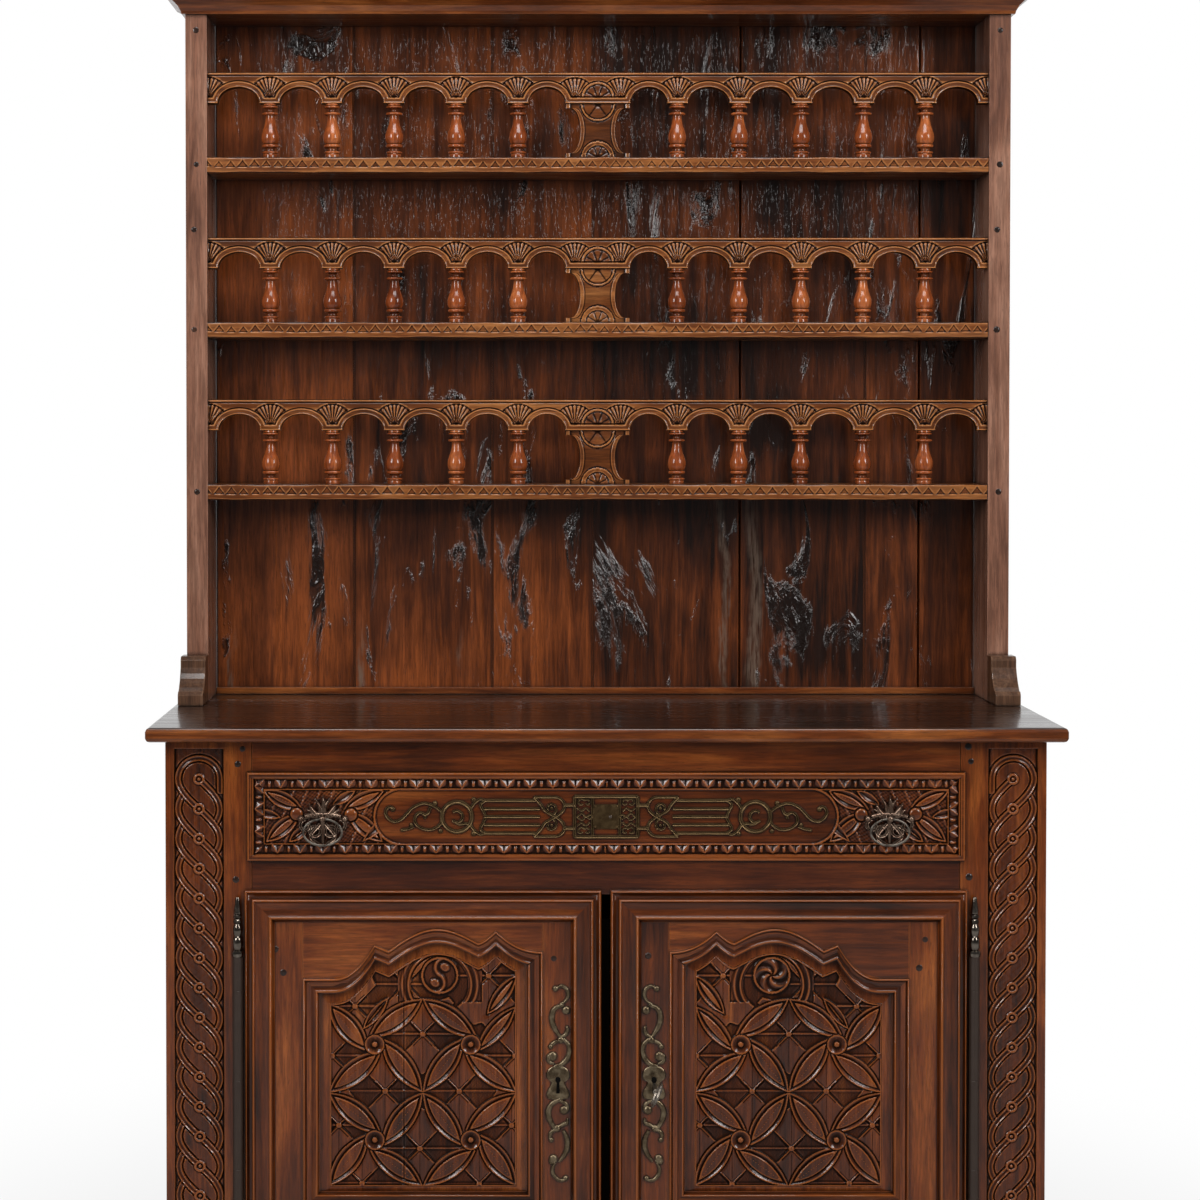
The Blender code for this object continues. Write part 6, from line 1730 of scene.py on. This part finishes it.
def plain_floor():
    """A pale floor that the camera sees as white, with the dresser's shadow kept."""
    f = Graph(bpy.data.materials.new("floor"))
    matte = f.add("ShaderNodeBsdfDiffuse", Color=FLOOR_GREY)
    glow = f.add("ShaderNodeEmission", Color=WHITE, Strength=1.0)
    camera, sent_on = rays_of(f)
    x, y, _ = f.add("ShaderNodeSeparateXYZ", _0=f.coordinates()[0]).outputs
    spread = f.plus(f.maths("ABSOLUTE", x), f.maths("ABSOLUTE", y))
    direct = f.times(camera, f.span(spread, 0.8, 2.6, 0.82, 1.0))
    seen = f.maths("MAXIMUM", direct, f.times(sent_on, f.span(y, 0.2, 0.5)))
    mix = f.add("ShaderNodeMixShader", _0=seen, _1=matte.outputs[0], _2=glow.outputs[0])
    far = FLOOR_REACH
    mesh = bpy.data.meshes.new("floor")
    mesh.from_pydata([(-far, -far, 0), (far, -far, 0), (far, far, 0), (-far, far, 0)], [], [(0, 1, 2, 3)])
    mesh.materials.append(f.end("ShaderNodeOutputMaterial", mix))
    place_object("floor", mesh)


def white_world():
    """White behind the dresser for what the camera and its reflections see, dim for the light it gives."""
    world = bpy.data.worlds.new("studio")
    bpy.context.scene.world = world
    f = Graph(world)
    camera, sent_on = rays_of(f)
    towards = f.add("ShaderNodeTexCoord").outputs["Generated"]
    _, y, _ = f.add("ShaderNodeSeparateXYZ", _0=towards).outputs
    seen = f.maths("MAXIMUM", camera, f.times(sent_on, f.maths("GREATER_THAN", y, 0.05)))
    dim = f.add("ShaderNodeBackground", Color=WHITE, Strength=AMBIENT)
    white = f.add("ShaderNodeBackground", Color=WHITE, Strength=1.0)
    mix = f.add("ShaderNodeMixShader", _0=seen, _1=dim.outputs[0], _2=white.outputs[0])
    f.end("ShaderNodeOutputWorld", mix)


def soft_box(name, place, target, size, watts):
    data = bpy.data.lights.new(name, "AREA")
    data.shape = "RECTANGLE"
    data.size, data.size_y = size
    data.energy = watts
    lamp = place_object(name, data)
    lamp.location = place
    lamp.rotation_euler = (Vector(target) - Vector(place)).to_track_quat("-Z", "Y").to_euler()


def make_camera():
    data = bpy.data.cameras.new("camera")
    data.sensor_width = SENSOR
    data.lens = SENSOR * FOCAL_PIXELS / FRAME_PIXELS
    data.shift_x, data.shift_y = CAMERA_SHIFT
    data.clip_end = 60.0
    camera = place_object("camera", data)
    camera.location = CAMERA_AT
    camera.rotation_euler = (math.radians(90 - CAMERA_TILT), 0.0, 0.0)
    bpy.context.scene.camera = camera


plain_floor()
white_world()
for box in SOFT_BOXES:
    soft_box(*box)
make_camera()
bpy.context.scene.view_settings.view_transform = "Standard"
